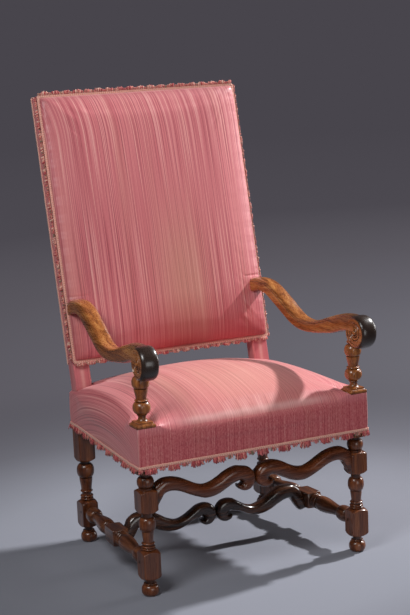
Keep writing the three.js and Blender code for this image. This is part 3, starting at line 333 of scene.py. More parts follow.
def striped_silk(name, shift=0.0):
    """Silk satin with a fine irregular stripe: warp threads dyed in pinks, rose and some beige,
    which give streaks 2 to 60 mm wide along the cloth and a soft sheen. The weave attribute holds
    millimetres across the stripes and along them."""
    material, tree, shader = new_finish(name, **{"IOR": 1.46, "Specular IOR Level": 0.4,
        "Sheen Weight": 0.26, "Sheen Roughness": 0.5, "Sheen Tint": hex_colour("#efe2dc"),
        "Coat Weight": 0.1, "Coat Roughness": 0.27})
    weave = attribute(tree, "weave", "Vector")
    # Warp streaks 2.4 mm wide, wider than the real 0.5 mm threads so that the picture shows them,
    # then 9 mm and 60 mm bands, all 500 to 850 mm long
    thread = noise(tree, weave, (0.42, 0.002, 1.0), 1.0, (shift, 0, 0))
    streak = noise(tree, weave, (0.11, 0.0014, 1.0), 2.0, (shift, 7, 0))
    band = noise(tree, weave, (0.016, 0.0012, 1.0), 1.0, (shift, 3, 0))
    # slubs, thick places 3 mm by 7 mm that ripple across the stripes where the cloth is drawn tight
    slub = noise(tree, weave, (0.32, 0.15, 1.0), 2.0, distortion=0.8)
    ripple = reckon(tree, "MULTIPLY", reckon(tree, "SUBTRACT", slub, 0.5), attribute(tree, "drawn"))
    mixed = weighed(tree, (thread, 0.88), (streak, 0.12), (ripple, 0.66))
    colour = ramp(tree, mixed, (0.3, "#9c454f"), (0.39, "#bc5e66"), (0.48, "#cc6f75"),
                  (0.59, "#d88385"), (0.73, "#e8ada5"))
    # beige warp in some of the wide bands, and beige where use and light have faded the dye, on the
    # seat's top partly painted sheen; then a painted highlight on the seat's front corners and lip,
    # painted shade on the back's top and left rolls, and a deeper red: painted shade on the seat's
    # front face, painted shade and reflected red low on the back
    beige = reckon(tree, "ADD", spread(tree, band, 0.55, 0.8, 0.0, 0.2), attribute(tree, "faded"))
    for share, code in ((beige, "#cda184"), (attribute(tree, "fold"), "#f0c8c2"),
                        (attribute(tree, "soil"), "#84464b"),
                        (attribute(tree, "depth"), "#a51e23")):
        colour = laid_over(tree, share, colour, hex_colour(code))
    rough = spread(tree, thread, 0.3, 0.7, 0.4, 0.54)
    # weft ribs 0.6 mm wide under the streaks
    weft = noise(tree, weave, (0.25, 1.6, 1.0), 1.0)
    height = reckon(tree, "MULTIPLY_ADD", weft, 0.35, mixed)
    link_finish(tree, shader, colour, height, 0.22, 0.0006, rough)
    return material


def dyed_thread(name):
    """Spun silk and cotton thread, corded into braid or cut into tufts: matt, with each thread's
    own dye, kept in the dye attribute, and fine dark gaps between threads."""
    material, tree, shader = new_finish(name, **{"IOR": 1.5, "Roughness": 0.72,
        "Specular IOR Level": 0.3, "Sheen Weight": 0.25, "Sheen Roughness": 0.5})
    place = add(tree, "ShaderNodeTexCoord").outputs["Object"]
    # threads some 0.9 mm thick
    speck = noise(tree, place, [1100.0] * 3, 2.0)
    shade = spread(tree, speck, 0.3, 0.7, 0.62, 1.18)
    colour = add(tree, "ShaderNodeVectorMath", {0: attribute(tree, "dye", "Color"),
        "Scale": shade}, operation="SCALE").outputs[0]
    link_finish(tree, shader, colour, speck, 0.5, 0.0006)
    return material


def woven_jute(name, rows, dark, light):
    """Plain-woven jute, in webbing or hessian: rough tan yarns over and under, with paler and
    darker lengths. rows is how many yarns lie side by side in 10 mm."""
    material, tree, shader = new_finish(name, **{"IOR": 1.5, "Roughness": 0.88,
        "Specular IOR Level": 0.2})
    weave = attribute(tree, "weave", "Vector")
    # a wave repeats after a tenth of pi over its scale
    scale = rows / 10 * math.pi / 10
    across, along = (add(tree, "ShaderNodeTexWave", {"Vector": weave, "Scale": scale,
        "Distortion": 0.6, "Detail Scale": 0.2}, bands_direction=axis).outputs["Fac"]
        for axis in "XY")
    knit = reckon(tree, "MULTIPLY", across, along)
    slub = noise(tree, weave, [0.35] * 3, 3.0)
    mixed = reckon(tree, "MULTIPLY_ADD", knit, 0.5, slub)
    colour = ramp(tree, mixed, (0.35, dark), (0.95, light))
    link_finish(tree, shader, colour, knit, 0.6, 0.0008)
    return material


POST_WALNUT = waxed_walnut("walnut_turned_upright", "z", "#3a1c0d", "#603016", "#7e4724",
                           pale=("#613015", "#8e5226", "#a86a36"))
SIDE_WALNUT = waxed_walnut("walnut_turned_lengthwise", "y", "#381c0f", "#5c321b", "#7c4c2e")
BAND_WALNUT = waxed_walnut("walnut_carved_crosswise", "x", "#361709", "#5a2a11", "#78401e", 0.24)
# a darker copy of the carved walnut: painted shade for the cross stretcher, low in the shade under
# the seat
SHADED_WALNUT = waxed_walnut("walnut_carved_shaded", "x", "#180d09", "#341e14", "#5a3725", 0.22)
ARM_WALNUT = waxed_walnut("walnut_arms_worn", "y", "#6b3a1a", "#99592a", "#b97d44", 0.27,
                          patina="#2e211a")
BEECH = waxed_walnut("beech_plain_sawn", "x", "#8d6a43", "#b08a5e", "#c6a479", 0.55)
PEG_WOOD = waxed_walnut("peg_wood_split", "z", "#26140d", "#3c2115", "#54311f", 0.42)
SEAT_SILK = striped_silk("silk_satin_seat", 11.0)
BACK_SILK = striped_silk("silk_satin_back", 0.0)
TRIM = dyed_thread("silk_and_cotton_trim")
WEBBING = woven_jute("jute_webbing", 7.234, "#7d6238", "#b39a6a")
HESSIAN = woven_jute("hessian_plain", 9.947, "#8f7747", "#bfa878")


# ---------------------------------------------------------------- turned work
def swelling(height, radius, root, steps=26):
    """A bead or ball: its radius is root + (radius - root) sin a at height (1 - cos a) / 2 of its
    own height, for a from nothing to half a turn."""
    a = np.linspace(0, math.pi, steps)
    return height, np.stack([root + (radius - root) * np.sin(a), height * (1 - np.cos(a)) / 2], -1)


def stem(height, radius):
    """A plain cylinder."""
    return height, np.array([[radius, 0.0], [radius, height]])


def vase(height, bottom, top, steps=16):
    """A body that widens along an S curve, 3t² - 2t³, from its bottom to its top radius."""
    t = np.linspace(0, 1, steps)
    return height, np.stack([bottom + (top - bottom) * t * t * (3 - 2 * t), height * t], -1)


def dome(height, bottom, top, steps=16):
    """A quarter ellipse that closes a wide turning down to a slimmer one."""
    a = np.linspace(0, math.pi / 2, steps)
    return height, np.stack([top + (bottom - top) * np.cos(a), height * np.sin(a)], -1)


def cavetto(height, bottom, top, steps=14):
    """A hollow quarter round from a wide bottom to a slim top."""
    a = np.linspace(0, math.pi / 2, steps)
    return height, np.stack([bottom - (bottom - top) * np.sin(a), height * (1 - np.cos(a))], -1)


def squared(height, low, high, steps=24, neck=14.5):
    """A length left square, whose ends run in to the turned work over rounded shoulders: the
    radius grows from the neck as sin^1.5 a while the height goes as 1 - cos a."""
    reach = CORNER_HALF * math.sqrt(2) + 0.5
    a = np.linspace(0, math.pi / 2, steps)
    edge = neck + (reach - neck) * np.sin(a) ** 1.5
    bottom = np.stack([edge, low * (1 - np.cos(a))], -1) if low else np.array([[reach, 0.0]])
    top = (np.stack([edge, height - high * (1 - np.cos(a))], -1)[::-1] if high
           else np.array([[reach, height]]))
    return height, np.concatenate([bottom, top])


def stack(start, elements):
    """The stations [radius, height] of a pile of elements from a starting height."""
    bases = np.cumsum([start] + [height for height, _ in elements])
    return np.concatenate([points + [0, base] for (_, points), base in zip(elements, bases)])


def pile_height(elements):
    """The height of a pile of elements."""
    return sum(height for height, _ in elements)


def mirrored(elements):
    """A pile of elements upside down."""
    return [(h, (p * [1, -1] + [0, h])[::-1]) for h, p in reversed(elements)]


def turning(stations, half, columns=96):
    """Square stock worked on a lathe: at each station the radius is the lesser of the turned one
    and that of the square, half / (|cos|^22 + |sin|^22)^(1/22), whose corners are rubbed
    round. The two blend over half a millimetre. Angles crowd towards the corners. Painted shade
    lies where the radius is less than its mean over the neighbouring 12 mm, darkening the hollows."""
    t = np.linspace(0, 2 * math.pi, columns, endpoint=False)
    angle = t + 0.15 * np.sin(4 * t)
    radius, height = stations[:, :1], stations[:, 1:]
    half = np.broadcast_to(np.asarray(half, float).reshape(-1, 1), radius.shape)
    square = half / (np.abs(np.cos(angle)) ** 22 + np.abs(np.sin(angle)) ** 22) ** (1 / 22)
    soft = 0.5
    least = np.minimum(radius, square)
    r = least - soft * np.log(np.exp(-(radius - least) / soft) + np.exp(-(square - least) / soft))
    even = np.arange(height[0, 0], height[-1, 0], 0.5)
    flat = np.minimum(np.interp(even, height[:, 0], radius[:, 0]), 24)
    mean = np.convolve(np.pad(flat, 24, mode="edge"), np.ones(49) / 49, mode="valid")
    local = np.interp(height[:, 0], even, mean)[:, None]
    # painted shade in the turned hollows
    grime = np.clip((local - r) / 7, 0, 1) * 0.65
    grid = np.stack([r * np.cos(angle), r * np.sin(angle), np.broadcast_to(height, r.shape)], -1)
    return grid, grime


def lower_leg():
    """Bun foot with a collar, neck and lower block, alike on all four legs."""
    return [swelling(28, 21.8, 12.5), swelling(4.5, 16.0, 12.0, 10), stem(8.5, 11.5),
            squared(75, 20, 19)]


FRONT_LEG = lower_leg() + [
    swelling(5.5, 17.5, 12.5, 14), swelling(5.5, 17.5, 12.5, 14), stem(3, 12.5),
    swelling(5, 16.5, 12.5, 12), vase(28, 12.5, 15), swelling(35, 21, 12.5), stem(10, 12.5),
    squared(60, 20, 12), stem(4, 17.5), swelling(28, 21, 12.5), stem(6, 12.5)]
FRONT_CORNER = [squared(PLINTH_TOP_Z - pile_height(FRONT_LEG), 11, 0)]
ARM_SUPPORT = [
    cavetto(10, 19.5, 9.5), stem(4, 9.5), swelling(4, 12.5, 9.5, 10), swelling(31, 22.2, 10.5),
    swelling(5, 17.0, 13.0, 10), vase(26, 12.8, 17.2), swelling(31, 21.8, 12.5), stem(3, 12.0),
    swelling(7, 15.5, 11.5, 14), stem(4, 11.5), swelling(7, 15, 11.5, 14), stem(27, 11.5)]
REAR_LEG = lower_leg() + [
    swelling(7.5, 17.5, 12.5, 14), swelling(7.5, 17.5, 12.5, 14), stem(7, 12.5),
    swelling(6, 16.5, 12.5, 12), vase(34, 14, 17.5), swelling(39, 23.5, 12.5), stem(6, 12.5)]
REAR_CORNER = [squared(BACK_Z - pile_height(REAR_LEG), 20, 0)]


def post_half(height):
    """Half the square stock's side at each height: bare block, part under the cover, and the
    plinth, whose slab is 6 mm high and steps in over two small mouldings."""
    up = height - PLINTH_Z
    step = (CORNER_HALF - 2.6 * np.clip((up - 6.2) / 0.8, 0, 1)
            - 2.4 * np.sin(math.pi / 2 * np.clip((up - 8) / 3, 0, 1)))
    return np.select([height < HEM_Z, height < PLINTH_Z - 0.5], [BLOCK_HALF, REBATE_HALF], step)


def front_post(side):
    """Leg, seat corner and arm support turned from one length. The support is paler than the leg,
    as light and hands have left it. 40 stations wider than the stock carry the plinth's
    mouldings."""
    stations = stack(0, FRONT_LEG + FRONT_CORNER + ARM_SUPPORT)
    heights = np.linspace(PLINTH_Z - 0.7, PLINTH_TOP_Z - 0.1, 40)
    stations = np.concatenate([stations, np.stack([0 * heights + 40.0, heights], -1)])
    stations = stations[np.argsort(stations[:, 1], kind="stable")]
    grid, grime = turning(stations, post_half(stations[:, 1]))
    pale = np.clip((grid[..., 2] - PLINTH_Z) / 4, 0, 1)
    return skin(grid + [side * FRONT_X, 0, 0], grime=grime, pale=pale)


def prism(x0, x1, y0, y1, z0, z1):
    """A plain bar with its edges rubbed to 1 mm, as rows of eight corners up its length."""
    corner = np.array([[x0 + 1, y0], [x1 - 1, y0], [x1, y0 + 1], [x1, y1 - 1],
                       [x1 - 1, y1], [x0 + 1, y1], [x0, y1 - 1], [x0, y0 + 1]])
    heights = np.linspace(z0, z1, 12)
    return np.concatenate([np.broadcast_to(corner, (12, 8, 2)),
                           np.broadcast_to(heights[:, None, None], (12, 8, 1))], -1)


def rear_post(side):
    """Turned leg, seat corner and the raked stile above it."""
    stations = stack(0, REAR_LEG + REAR_CORNER)
    grid, grime = turning(stations, post_half(stations[:, 1]))
    inner, outer = sorted([side * STILE_IN, side * STILE_OUT])
    stile = raked(prism(inner, outer, 0.4, STILE_DEPTH - 0.4, 0, BACK_TOP - 2))
    none = np.zeros(stile.shape[:2])
    return joined([skin(grid + [side * REAR_X, LEG_DEPTH, 0], grime=grime, pale=0 * grime),
                   skin(stile, grime=none, pale=none)])


SPLAY = math.atan2(FRONT_X - REAR_X, LEG_DEPTH)
SIDE_LENGTH = math.hypot(FRONT_X - REAR_X, LEG_DEPTH)
SIDE_Z = 85.5


def side_stretcher(side):
    """Ball, vase, cup and rings on each side of a square middle block, along the splayed line
    between a front and a rear leg."""
    ball = [stem(14.5, 14.5), swelling(38, 21.5, 14), stem(5, 14)]
    rings = [dome(18, 21, 14.5)] + 2 * [stem(3, 14.5), swelling(9, 19.5, 14.5, 16)]
    block = squared(70, 14, 14, 16)
    start = BLOCK_HALF - 1.5
    rest = SIDE_LENGTH / 2 - start - pile_height(ball + rings) - block[0] / 2
    half = ball + [vase(rest, 14, 21, 26)] + rings
    grid, grime = turning(stack(start, half + [block] + mirrored(half)), 21.0)
    # what was Y across the turning is height once it lies down
    x, y, along = grid[..., 0], -grid[..., 1], grid[..., 2]
    a = side * SPLAY
    turned = np.stack([x * math.cos(a) - along * math.sin(a) + side * FRONT_X,
                       x * math.sin(a) + along * math.cos(a), y + SIDE_Z], -1)
    return skin(turned, grime=grime)


for word, side in (("left", -1), ("right", 1)):
    make(f"front_post_wood_{word}", front_post(side), POST_WALNUT, 38,
         (f"front_post_{word}",))
    make(f"rear_post_wood_{word}", rear_post(side), POST_WALNUT, 38,
         (f"rear_post_{word}",))
    make(f"side_stretcher_wood_{word}", side_stretcher(side), SIDE_WALNUT, 38,
         (f"side_stretcher_{word}",))


# ---------------------------------------------------------------- scrolled stretchers
FRONT_BAND = [
    [1.006, -0.12, 1.75], [0.957, 0.24, 1.35], [0.923, 0.45, 1.08], [0.89, 0.51, 1],
    [0.823, 0.5, 0.95], [0.745, 0.35, 0.975], [0.664, 0.085, 0.975], [0.586, -0.16, 0.925],
    [0.515, -0.305, 0.95], [0.449, -0.28, 1.02], [0.371, -0.11, 1.12], [0.297, 0.146, 1.16],
    [0.23, 0.34, 1.1], [0.167, 0.427, 1.02]]
CROSS_BAND = [
    [1, -0.5, 0.89], [0.966, -0.365, 1.28], [0.944, -0.176, 1.61], [0.917, 0.02, 1.57],
    [0.876, 0.318, 1.29], [0.846, 0.507, 1.01], [0.77, 0.52, 1.04], [0.71, 0.4, 1.125],
    [0.608, 0.034, 1.1], [0.517, -0.243, 0.89], [0.415, -0.331, 0.68], [0.347, -0.19, 0.64],
    [0.26, 0.135, 0.69], [0.189, 0.345, 0.85]]
EYE = [[0.36, -0.036], [0.27, -0.08], [0.19, -0.127], [0.148, -0.188], [0.133, -0.255],
       [0.158, -0.327], [0.248, -0.377], [0.348, -0.352], [0.42, -0.30]]


def scrolled_band(hand, band, half_span, rise, depth, radius, offset, thickness, y, z):
    """Half of a wavy stretcher. Two edges run side by side: the upper one along the waves and round
    the scroll, where it is a spiral that closes to 0.675 of its radius, and the lower one
    along the waves and into the scroll's eye. Between them the section is a superellipse of power
    2.7, and it rounds off over the last 9 mm."""
    out, up, deep = np.array(band).T
    upper = np.stack([out * half_span, up * rise + deep * depth / 2], -1)
    lower = np.stack([out * half_span, up * rise - deep * depth / 2], -1)
    turn = np.radians([90, 120, 150, 180, 210, 240, 270, 300, 327])
    late = np.clip((turn - math.pi) / (math.radians(327) - math.pi), 0, 1)
    reach = radius * (1 - 0.325 * late ** 2)
    spiral = np.stack([offset + reach * np.cos(turn), reach * np.sin(turn)], -1)
    eye = np.array(EYE) * radius + [offset, 0]
    knots = np.concatenate([np.concatenate([upper, spiral]), np.concatenate([lower, eye])], -1)
    line = smooth_line(knots, 260)
    above, below = line[:, None, :2], line[:, None, 2:]
    steps = np.linalg.norm(np.diff(line[:, :2] + line[:, 2:], axis=0), axis=1) / 2
    run = np.concatenate([[0], np.cumsum(steps)])
    tip = np.clip((run - run[-1] + 9) / 9, 0, 1)
    keep = np.sqrt(np.clip(1 - tip ** 2, 0.0004, 1))[:, None]
    a = np.linspace(0, 2 * math.pi, 36, endpoint=False)
    across, high = signed_power(np.sin(a), 2 / 2.7), signed_power(np.cos(a), 2 / 2.7)
    middle, reach = (above + below) / 2, (above - below) / 2 * keep[..., None]
    flat = middle + reach * high[None, :, None]
    narrow = 1 - 0.14 * np.clip((run - 0.72 * run[-1]) / (0.28 * run[-1]), 0, 1)[:, None]
    grid = np.stack([hand * flat[..., 0], y + across[None] * keep * narrow * thickness / 2,
                     z + flat[..., 1]], -1)
    # painted shade: darker in the scroll's eye and over the last 9 mm, where the band meets the leg
    eye_middle = np.array([offset + 0.22 * radius, -0.25 * radius])
    near = np.linalg.norm(flat - eye_middle, axis=-1)
    grime = 0.8 * np.exp(-(near / (0.3 * radius)) ** 2)
    grime = grime + 0.45 * np.clip(1 - (half_span - flat[..., 0]) / 9, 0, 1)
    return skin(grid, grime=np.clip(grime, 0, 1))


def scrolled_stretcher(**sizes):
    """Both halves, whose scrolls meet at the middle."""
    return joined([scrolled_band(hand, **sizes) for hand in (-1, 1)])


make("front_stretcher_wood", scrolled_stretcher(
    band=FRONT_BAND, half_span=272.2, rise=41, depth=35.5, radius=33, offset=32.5, thickness=38,
    y=0, z=249.5), BAND_WALNUT, 50, ("front_stretcher",))
# the cross stretcher takes the darker walnut, painted shade
make("cross_stretcher_wood", scrolled_stretcher(
    band=CROSS_BAND, half_span=264.9, rise=37, depth=38.5, radius=31.5, offset=31, thickness=36,
    y=229, z=94.5), SHADED_WALNUT, 50, ("cross_stretcher",))


# ---------------------------------------------------------------- arms
ARM_SECTIONS = [
    [1.04, 0.85, 0.24], [0.994, 0.89, 0.317], [0.914, 0.965, 0.488], [0.846, 0.985, 0.561],
    [0.78, 0.935, 0.512], [0.719, 0.81, 0.341], [0.657, 0.63, 0.146], [0.595, 0.425, -0.049],
    [0.534, 0.205, -0.232], [0.462, 0.025, -0.366], [0.378, -0.03, -0.402], [0.294, 0.06, -0.366],
    [0.205, 0.23, -0.293], [0.123, 0.385, -0.207], [0.041, 0.5, -0.061], [-0.02, 0.53, -0.012],
    [-0.078, 0.512, -0.024]]
ARM_HALF, ARM_RISE = 23.0, 82.0
SCROLL_R, CHEEK_R, CHEEK_X, SCROLL_Y, SCROLL_Z = 42.5, 31.0, 22.6, -38.0, -0.5
ARM_END = np.array([264.5, 486.86])
ARM_SPAN = math.hypot(FRONT_X - ARM_END[0], ARM_END[1])
ARM_SPLAY = math.atan2(FRONT_X - ARM_END[0], ARM_END[1])


def arm_placed(grid, side):
    """An arm's own places (across, along to the rear, up from the support) in the chair."""
    x, y, z = np.moveaxis(grid, -1, 0)
    a = side * ARM_SPLAY
    return np.stack([x * math.cos(a) - y * math.sin(a) + side * FRONT_X,
                     x * math.sin(a) + y * math.cos(a), z + ARM_UNDER_Z], -1)


def arm_band(side):
    """The S-shaped arm. Its section is a superellipse whose upper half goes from power 3.4 at the
    stile to 2.2 at the scroll and whose lower half has power 5. It is widest 0.35 of its depth
    from the underside. A bead between two scratched grooves runs along each side, high up."""
    along, top, bottom = smooth_line(np.array(ARM_SECTIONS) * [ARM_SPAN, ARM_RISE, ARM_RISE], 170).T
    a = np.linspace(0, 2 * math.pi, 112, endpoint=False)
    s, c = np.sin(a)[None], np.cos(a)[None]
    share = (along / ARM_SPAN)[:, None]
    power = 2.2 + 1.2 * np.clip((share - 0.05) / 0.3, 0, 1)
    upper = s >= 0
    wide = np.where(upper, signed_power(c, 2 / power), signed_power(c, 2 / 5))
    tall = np.where(upper, -0.3 + 1.2 * np.abs(s) ** (2 / power), -0.3 - 0.7 * np.abs(s) ** (2 / 5))
    # the bead and its grooves lie where the section's height is 0.46 to 0.7 of its upper half
    level = np.where(upper, tall, -1.0)
    groove = np.exp(-((level - 0.46) / 0.055) ** 2) + 0.7 * np.exp(-((level - 0.7) / 0.05) ** 2)
    middle, half = (top + bottom)[:, None] / 2, (top - bottom)[:, None] / 2
    depth = 1.5 * groove * np.abs(wide) ** 3
    grid = np.stack([ARM_HALF * wide - np.sign(wide) * depth, along[:, None] + 0 * wide,
                     middle + tall * half], -1)
    front = np.clip((0.25 - share) / 0.3, 0, 1)
    patina = 0.75 * front * np.clip(level + 0.2, 0, 1) ** 0.5
    # painted shade along the bead's grooves and under the arm, and a painted shadow over the arm's
    # rearmost part, by the back
    grime = 0.75 * groove * np.abs(wide) ** 3 + 0.35 * np.clip(-s, 0, 1) ** 3 \
        + 0.8 * np.clip((share - 0.955) / 0.05, 0, 1)
    return skin(arm_placed(grid, side), patina=patina, grime=np.clip(grime, 0, 1))


def arm_scroll(side):
    """The rolled end of an arm, turned about its own cross axis. Its rim is a barrel, a
    superellipse of power 2.7 that falls from 42.5 mm in the middle to 31 mm at the cheeks. Each
    cheek has a volute whose band, between grooves, narrows from 11 mm by 38% each turn, leafy
    nicks on its outer turn, and a raised eye."""
    b = np.linspace(-math.pi / 2, math.pi / 2, 46)
    radii = np.linspace(0.5, CHEEK_R, 56)[:-1]
    flat = np.full(55, CHEEK_X)
    rim = CHEEK_R + (SCROLL_R - CHEEK_R) * np.abs(np.cos(b)) ** (2 / 2.7)
    rho = np.concatenate([radii, rim, radii[::-1]])
    across = np.concatenate([-flat, CHEEK_X * signed_power(np.sin(b), 2 / 2.7), flat])
    turn = np.linspace(0, 2 * math.pi, 144, endpoint=False)
    cheek = (np.abs(across) > CHEEK_X - 0.1)[:, None] & (rho < CHEEK_R - 0.1)[:, None]
    share = ((turn + 0.6) / (2 * math.pi)) % 1
    whole = share[None] + np.arange(-1, 4)[:, None]
    arms = 29.0 * 0.62 ** whole
    gap = np.abs(rho[:, None, None] - arms.T[None])
    gap = np.where(arms.T[None] < 5.5, 99.0, gap).min(-1)
    cut = np.exp(-(gap / 1.35) ** 2) * cheek
    eye = np.clip(1 - (rho / 6.0) ** 2, 0, 1)[:, None] ** 0.5 * 2.4 * cheek
    leaf = np.clip(np.sin(turn * 9 + rho[:, None] * 0.35), 0, 1) ** 6
    leaf = leaf * np.clip(1 - np.abs(rho[:, None] - 22.5) / 5, 0, 1) \
        * (np.cos(turn + 0.9) < 0.35) * cheek
    x = np.sign(across)[:, None] * (np.abs(across)[:, None] - 2.8 * cut + eye - 1.8 * leaf)
    grid = np.stack([x, SCROLL_Y + rho[:, None] * np.cos(turn)[None],
                     SCROLL_Z + rho[:, None] * np.sin(turn)[None]], -1)
    facing = np.clip(0.55 - 0.9 * np.cos(turn + 0.15), 0, 1)[None]
    on_rim = np.clip((rho - 32) / 6, 0, 1)[:, None]
    patina = on_rim * (0.25 + 0.85 * facing) + 0.1
    # painted shade in the volute's grooves and its leafy nicks
    return skin(arm_placed(grid, side), patina=np.clip(patina, 0, 1),
                grime=np.clip(0.95 * cut + 0.8 * leaf, 0, 1))


for word, side in (("left", -1), ("right", 1)):
    make(f"arm_wood_{word}", joined([arm_band(side), arm_scroll(side)]), ARM_WALNUT,
         50, (f"arm_{word}",))


# ---------------------------------------------------------------- seat
def seat_half(y):
    """Half the seat's width at a depth: even beside the posts and tapered between them."""
    share = np.clip((y - SEAT_TAPER_Y) / (SEAT_TAPER_END_Y - SEAT_TAPER_Y), 0, 1)
    return SEAT_FRONT_HALF - (SEAT_FRONT_HALF - SEAT_REAR_HALF) * share


def seat_outline(inset):
    """Round the seat's plan, its corners eased over 2 mm."""
    front, rear = SEAT_FRONT_Y + inset, SEAT_REAR_Y - inset
    corners = [(-1, front), (1, front), (1, SEAT_TAPER_Y), (1, SEAT_TAPER_END_Y),
               (1, rear), (-1, rear), (-1, SEAT_TAPER_END_Y), (-1, SEAT_TAPER_Y)]
    plan = np.array([[side * (seat_half(y) - inset), y] for side, y in corners])
    line = along_path(plan, count=OUTLINE_COUNT)[0]
    return (np.roll(line, 1, axis=0) + 6 * line + np.roll(line, -1, axis=0)) / 8


def rounded(share, power):
    """A rounded edge: the root of 1 - |share|^power."""
    return np.sqrt(np.clip(1 - np.abs(share) ** power, 0, None))


def crowned(share):
    """A gentle rise over the whole width: (1 - share²)^0.8."""
    return np.clip(1 - share ** 2, 0, None) ** 0.8


def to_post(x, y, post_x, post_y):
    """How far outside a post's square plan a place lies, by the greater of its two distances."""
    return np.maximum(np.abs(np.abs(x) - post_x), np.abs(y - post_y)) - CORNER_HALF


def seat_edge(x, y):
    """The height at which the seat's walls start to turn over: it lifts to the plinths' underside
    at the front posts, along 3t² - 2t³ over 45 mm."""
    t = np.clip(1 - to_post(x, y, FRONT_X, 0) / 45, 0, 1)
    return SEAT_EDGE_Z + (PLINTH_Z + 0.4 - SEAT_EDGE_Z) * t * t * (3 - 2 * t)


def seat_height(x, y):
    """The seat's top. It turns over its edges in a roll of power 16 to one height all round, rises
    over its whole width as a dome, and is drawn down to the plinths and to the rear posts within
    80 mm of each. The lesser of two heights is always taken, blended over 3 mm."""
    u = x / seat_half(y)
    v = (y - (SEAT_FRONT_Y + SEAT_REAR_Y) / 2) / ((SEAT_REAR_Y - SEAT_FRONT_Y) / 2)
    edge = seat_edge(x, y)
    z = edge + (SEAT_EDGE_Z + SEAT_ROLL - edge) * rounded(u, 16) * rounded(v, 16) \
        + SEAT_CROWN * crowned(u) * crowned(v)
    for post_x, post_y, low in ((FRONT_X, 0.0, PLINTH_Z + 0.4),
                                (REAR_X, LEG_DEPTH, SEAT_EDGE_Z + 17)):
        away = np.clip(to_post(x, y, post_x, post_y) / 80, 0, 1)
        tucked = low + 44 * away * (1.4 - 0.4 * away)
        both = low - 3 * np.log(np.exp((low - z) / 3) + np.exp((low - tucked) / 3))
        z = np.where(away < 1, both + 3 * np.log(2) * (1 - away) ** 2, z)
    # two creases run in from each plinth's inner corner, where the cover is cut round the post
    dx, dy = FRONT_X - CORNER_HALF - np.abs(x), y - CORNER_HALF
    for turn, far in ((0.35, 60), (1.1, 46)):
        reach = dx * math.cos(turn) + dy * math.sin(turn)
        off = dy * math.cos(turn) - dx * math.sin(turn)
        fade = np.clip(reach / 10, 0, 1) * np.clip(1 - reach / far, 0, 1)
        z = z - 1.3 * np.exp(-(off / (3 + 0.05 * np.abs(reach))) ** 2) * fade
    # small puckers along the front edge, where the cover turns down between the plinths
    lip = np.exp(-((y - SEAT_FRONT_Y) / 26) ** 2) * np.clip((FRONT_X - 30 - np.abs(x)) / 20, 0, 1)
    lip = lip * np.clip((y - SEAT_FRONT_Y) / 5, 0, 1)
    return z + 0.7 * lip * np.sin(x / 9 + 2.2 * np.sin(x / 47))


def seat_shell():
    """The stuffed seat under its cover, as rings round its plan: from the middle of the underside
    out to the cover, down inside it to the hem, up its outer face, and in over the crown."""
    outer, inner = seat_outline(0.0), seat_outline(1.8)
    middle = np.array([0.0, (SEAT_FRONT_Y + SEAT_REAR_Y) / 2])
    count = len(outer)
    rows = []
    for share in (0.05, 0.35, 0.7, 0.95, 1.0):
        rows.append(np.c_[middle + (inner - middle) * share, np.full(count, STUFFING_Z)])
    for z in np.linspace(STUFFING_Z - 3, HEM_Z, 8):
        rows.append(np.c_[inner, np.full(count, z)])
    top = seat_edge(outer[:, 0], outer[:, 1]) - 1
    away = outer - middle
    away = away / np.linalg.norm(away, axis=1)[:, None]
    for share in np.linspace(0, 1, 24):
        rows.append(np.c_[outer + away * (1.2 * math.sin(math.pi * share) - 0.6),
                          HEM_Z + share * (top - HEM_Z)])
    lift = np.sin(np.linspace(math.pi / 2, 0, 90)) ** 0.55
    for share in lift[:-1]:
        plan = middle + (outer - middle) * (share * 0.9985)
        rows.append(np.c_[plan, seat_height(plan[:, 0], plan[:, 1])])
    return np.stack(rows)


def seat_weave(points):
    """Millimetres across the seat's stripes and along them: across is X in front, and on top and
    down the sides X and the fall from the middle line's height at the same depth."""
    x, y, z = points.T
    front = (y < SEAT_FRONT_Y + 4) & (z < seat_edge(x, y) + 1) \
        & (seat_half(y) - np.abs(x) > y - SEAT_FRONT_Y)
    middle = seat_height(0 * x, np.clip(y, SEAT_FRONT_Y, SEAT_REAR_Y))
    fall = np.where(front, 0, np.clip(middle - z, 0, None))
    along = np.where(y < SEAT_FRONT_Y + 4, y - (SEAT_EDGE_Z - z), y)
    return np.stack([x + np.sign(x) * fall, along, np.zeros_like(x)], -1)


def seat_piece():
    """The seat's pad, with its stripes, the slubs of the tightly drawn front, a painted highlight
    down each front corner and along the front edge, painted shade as a deeper red on the front
    face, and a beige on its top, partly faded dye and partly painted sheen."""
    points, quads, triangles, _ = skin(drawn_tight(seat_shell(), 2.0, seat_held))
    x, y, z = points.T
    face = np.clip(1 - (y - SEAT_FRONT_Y - 1) / 6, 0, 1) \
        * np.clip((SEAT_EDGE_Z + 16 - z) / 22, 0, 1)
    corner = np.hypot(seat_half(y) - np.abs(x), y - SEAT_FRONT_Y)
    lip = np.exp(-((y - SEAT_FRONT_Y - 9) / 6) ** 2) * np.clip((225 - np.abs(x)) / 60, 0, 1)
    # painted highlight: a pale line down each front corner and along the front lip
    fold = 0.6 * np.exp(-(corner / 2.2) ** 2) * (z < PLINTH_Z) + 0.36 * lip * (z > SEAT_EDGE_Z + 8)
    # a beige patch on the seat's top: partly faded dye, partly painted sheen
    faded = 0.34 * np.exp(-((x - 20) / 170) ** 2 - ((y - 130) / 190) ** 2) * (1 - face)
    # painted shade: the depth entry below gives the seat's front face a deeper red
    return points, quads, triangles, {
        "weave": seat_weave(points), "depth": 0.42 * face, "drawn": 0.16 + 0.84 * face,
        "fold": fold, "faded": faded, "soil": 0.0 * x}


def coarse(grid, rows, columns):
    """A grid thinned to so many rows and columns, with the places it keeps."""
    r = np.unique(np.linspace(0, grid.shape[0] - 1, rows).astype(int))
    c = np.linspace(0, grid.shape[1], columns, endpoint=False).astype(int)
    return grid[r][:, c], r, c


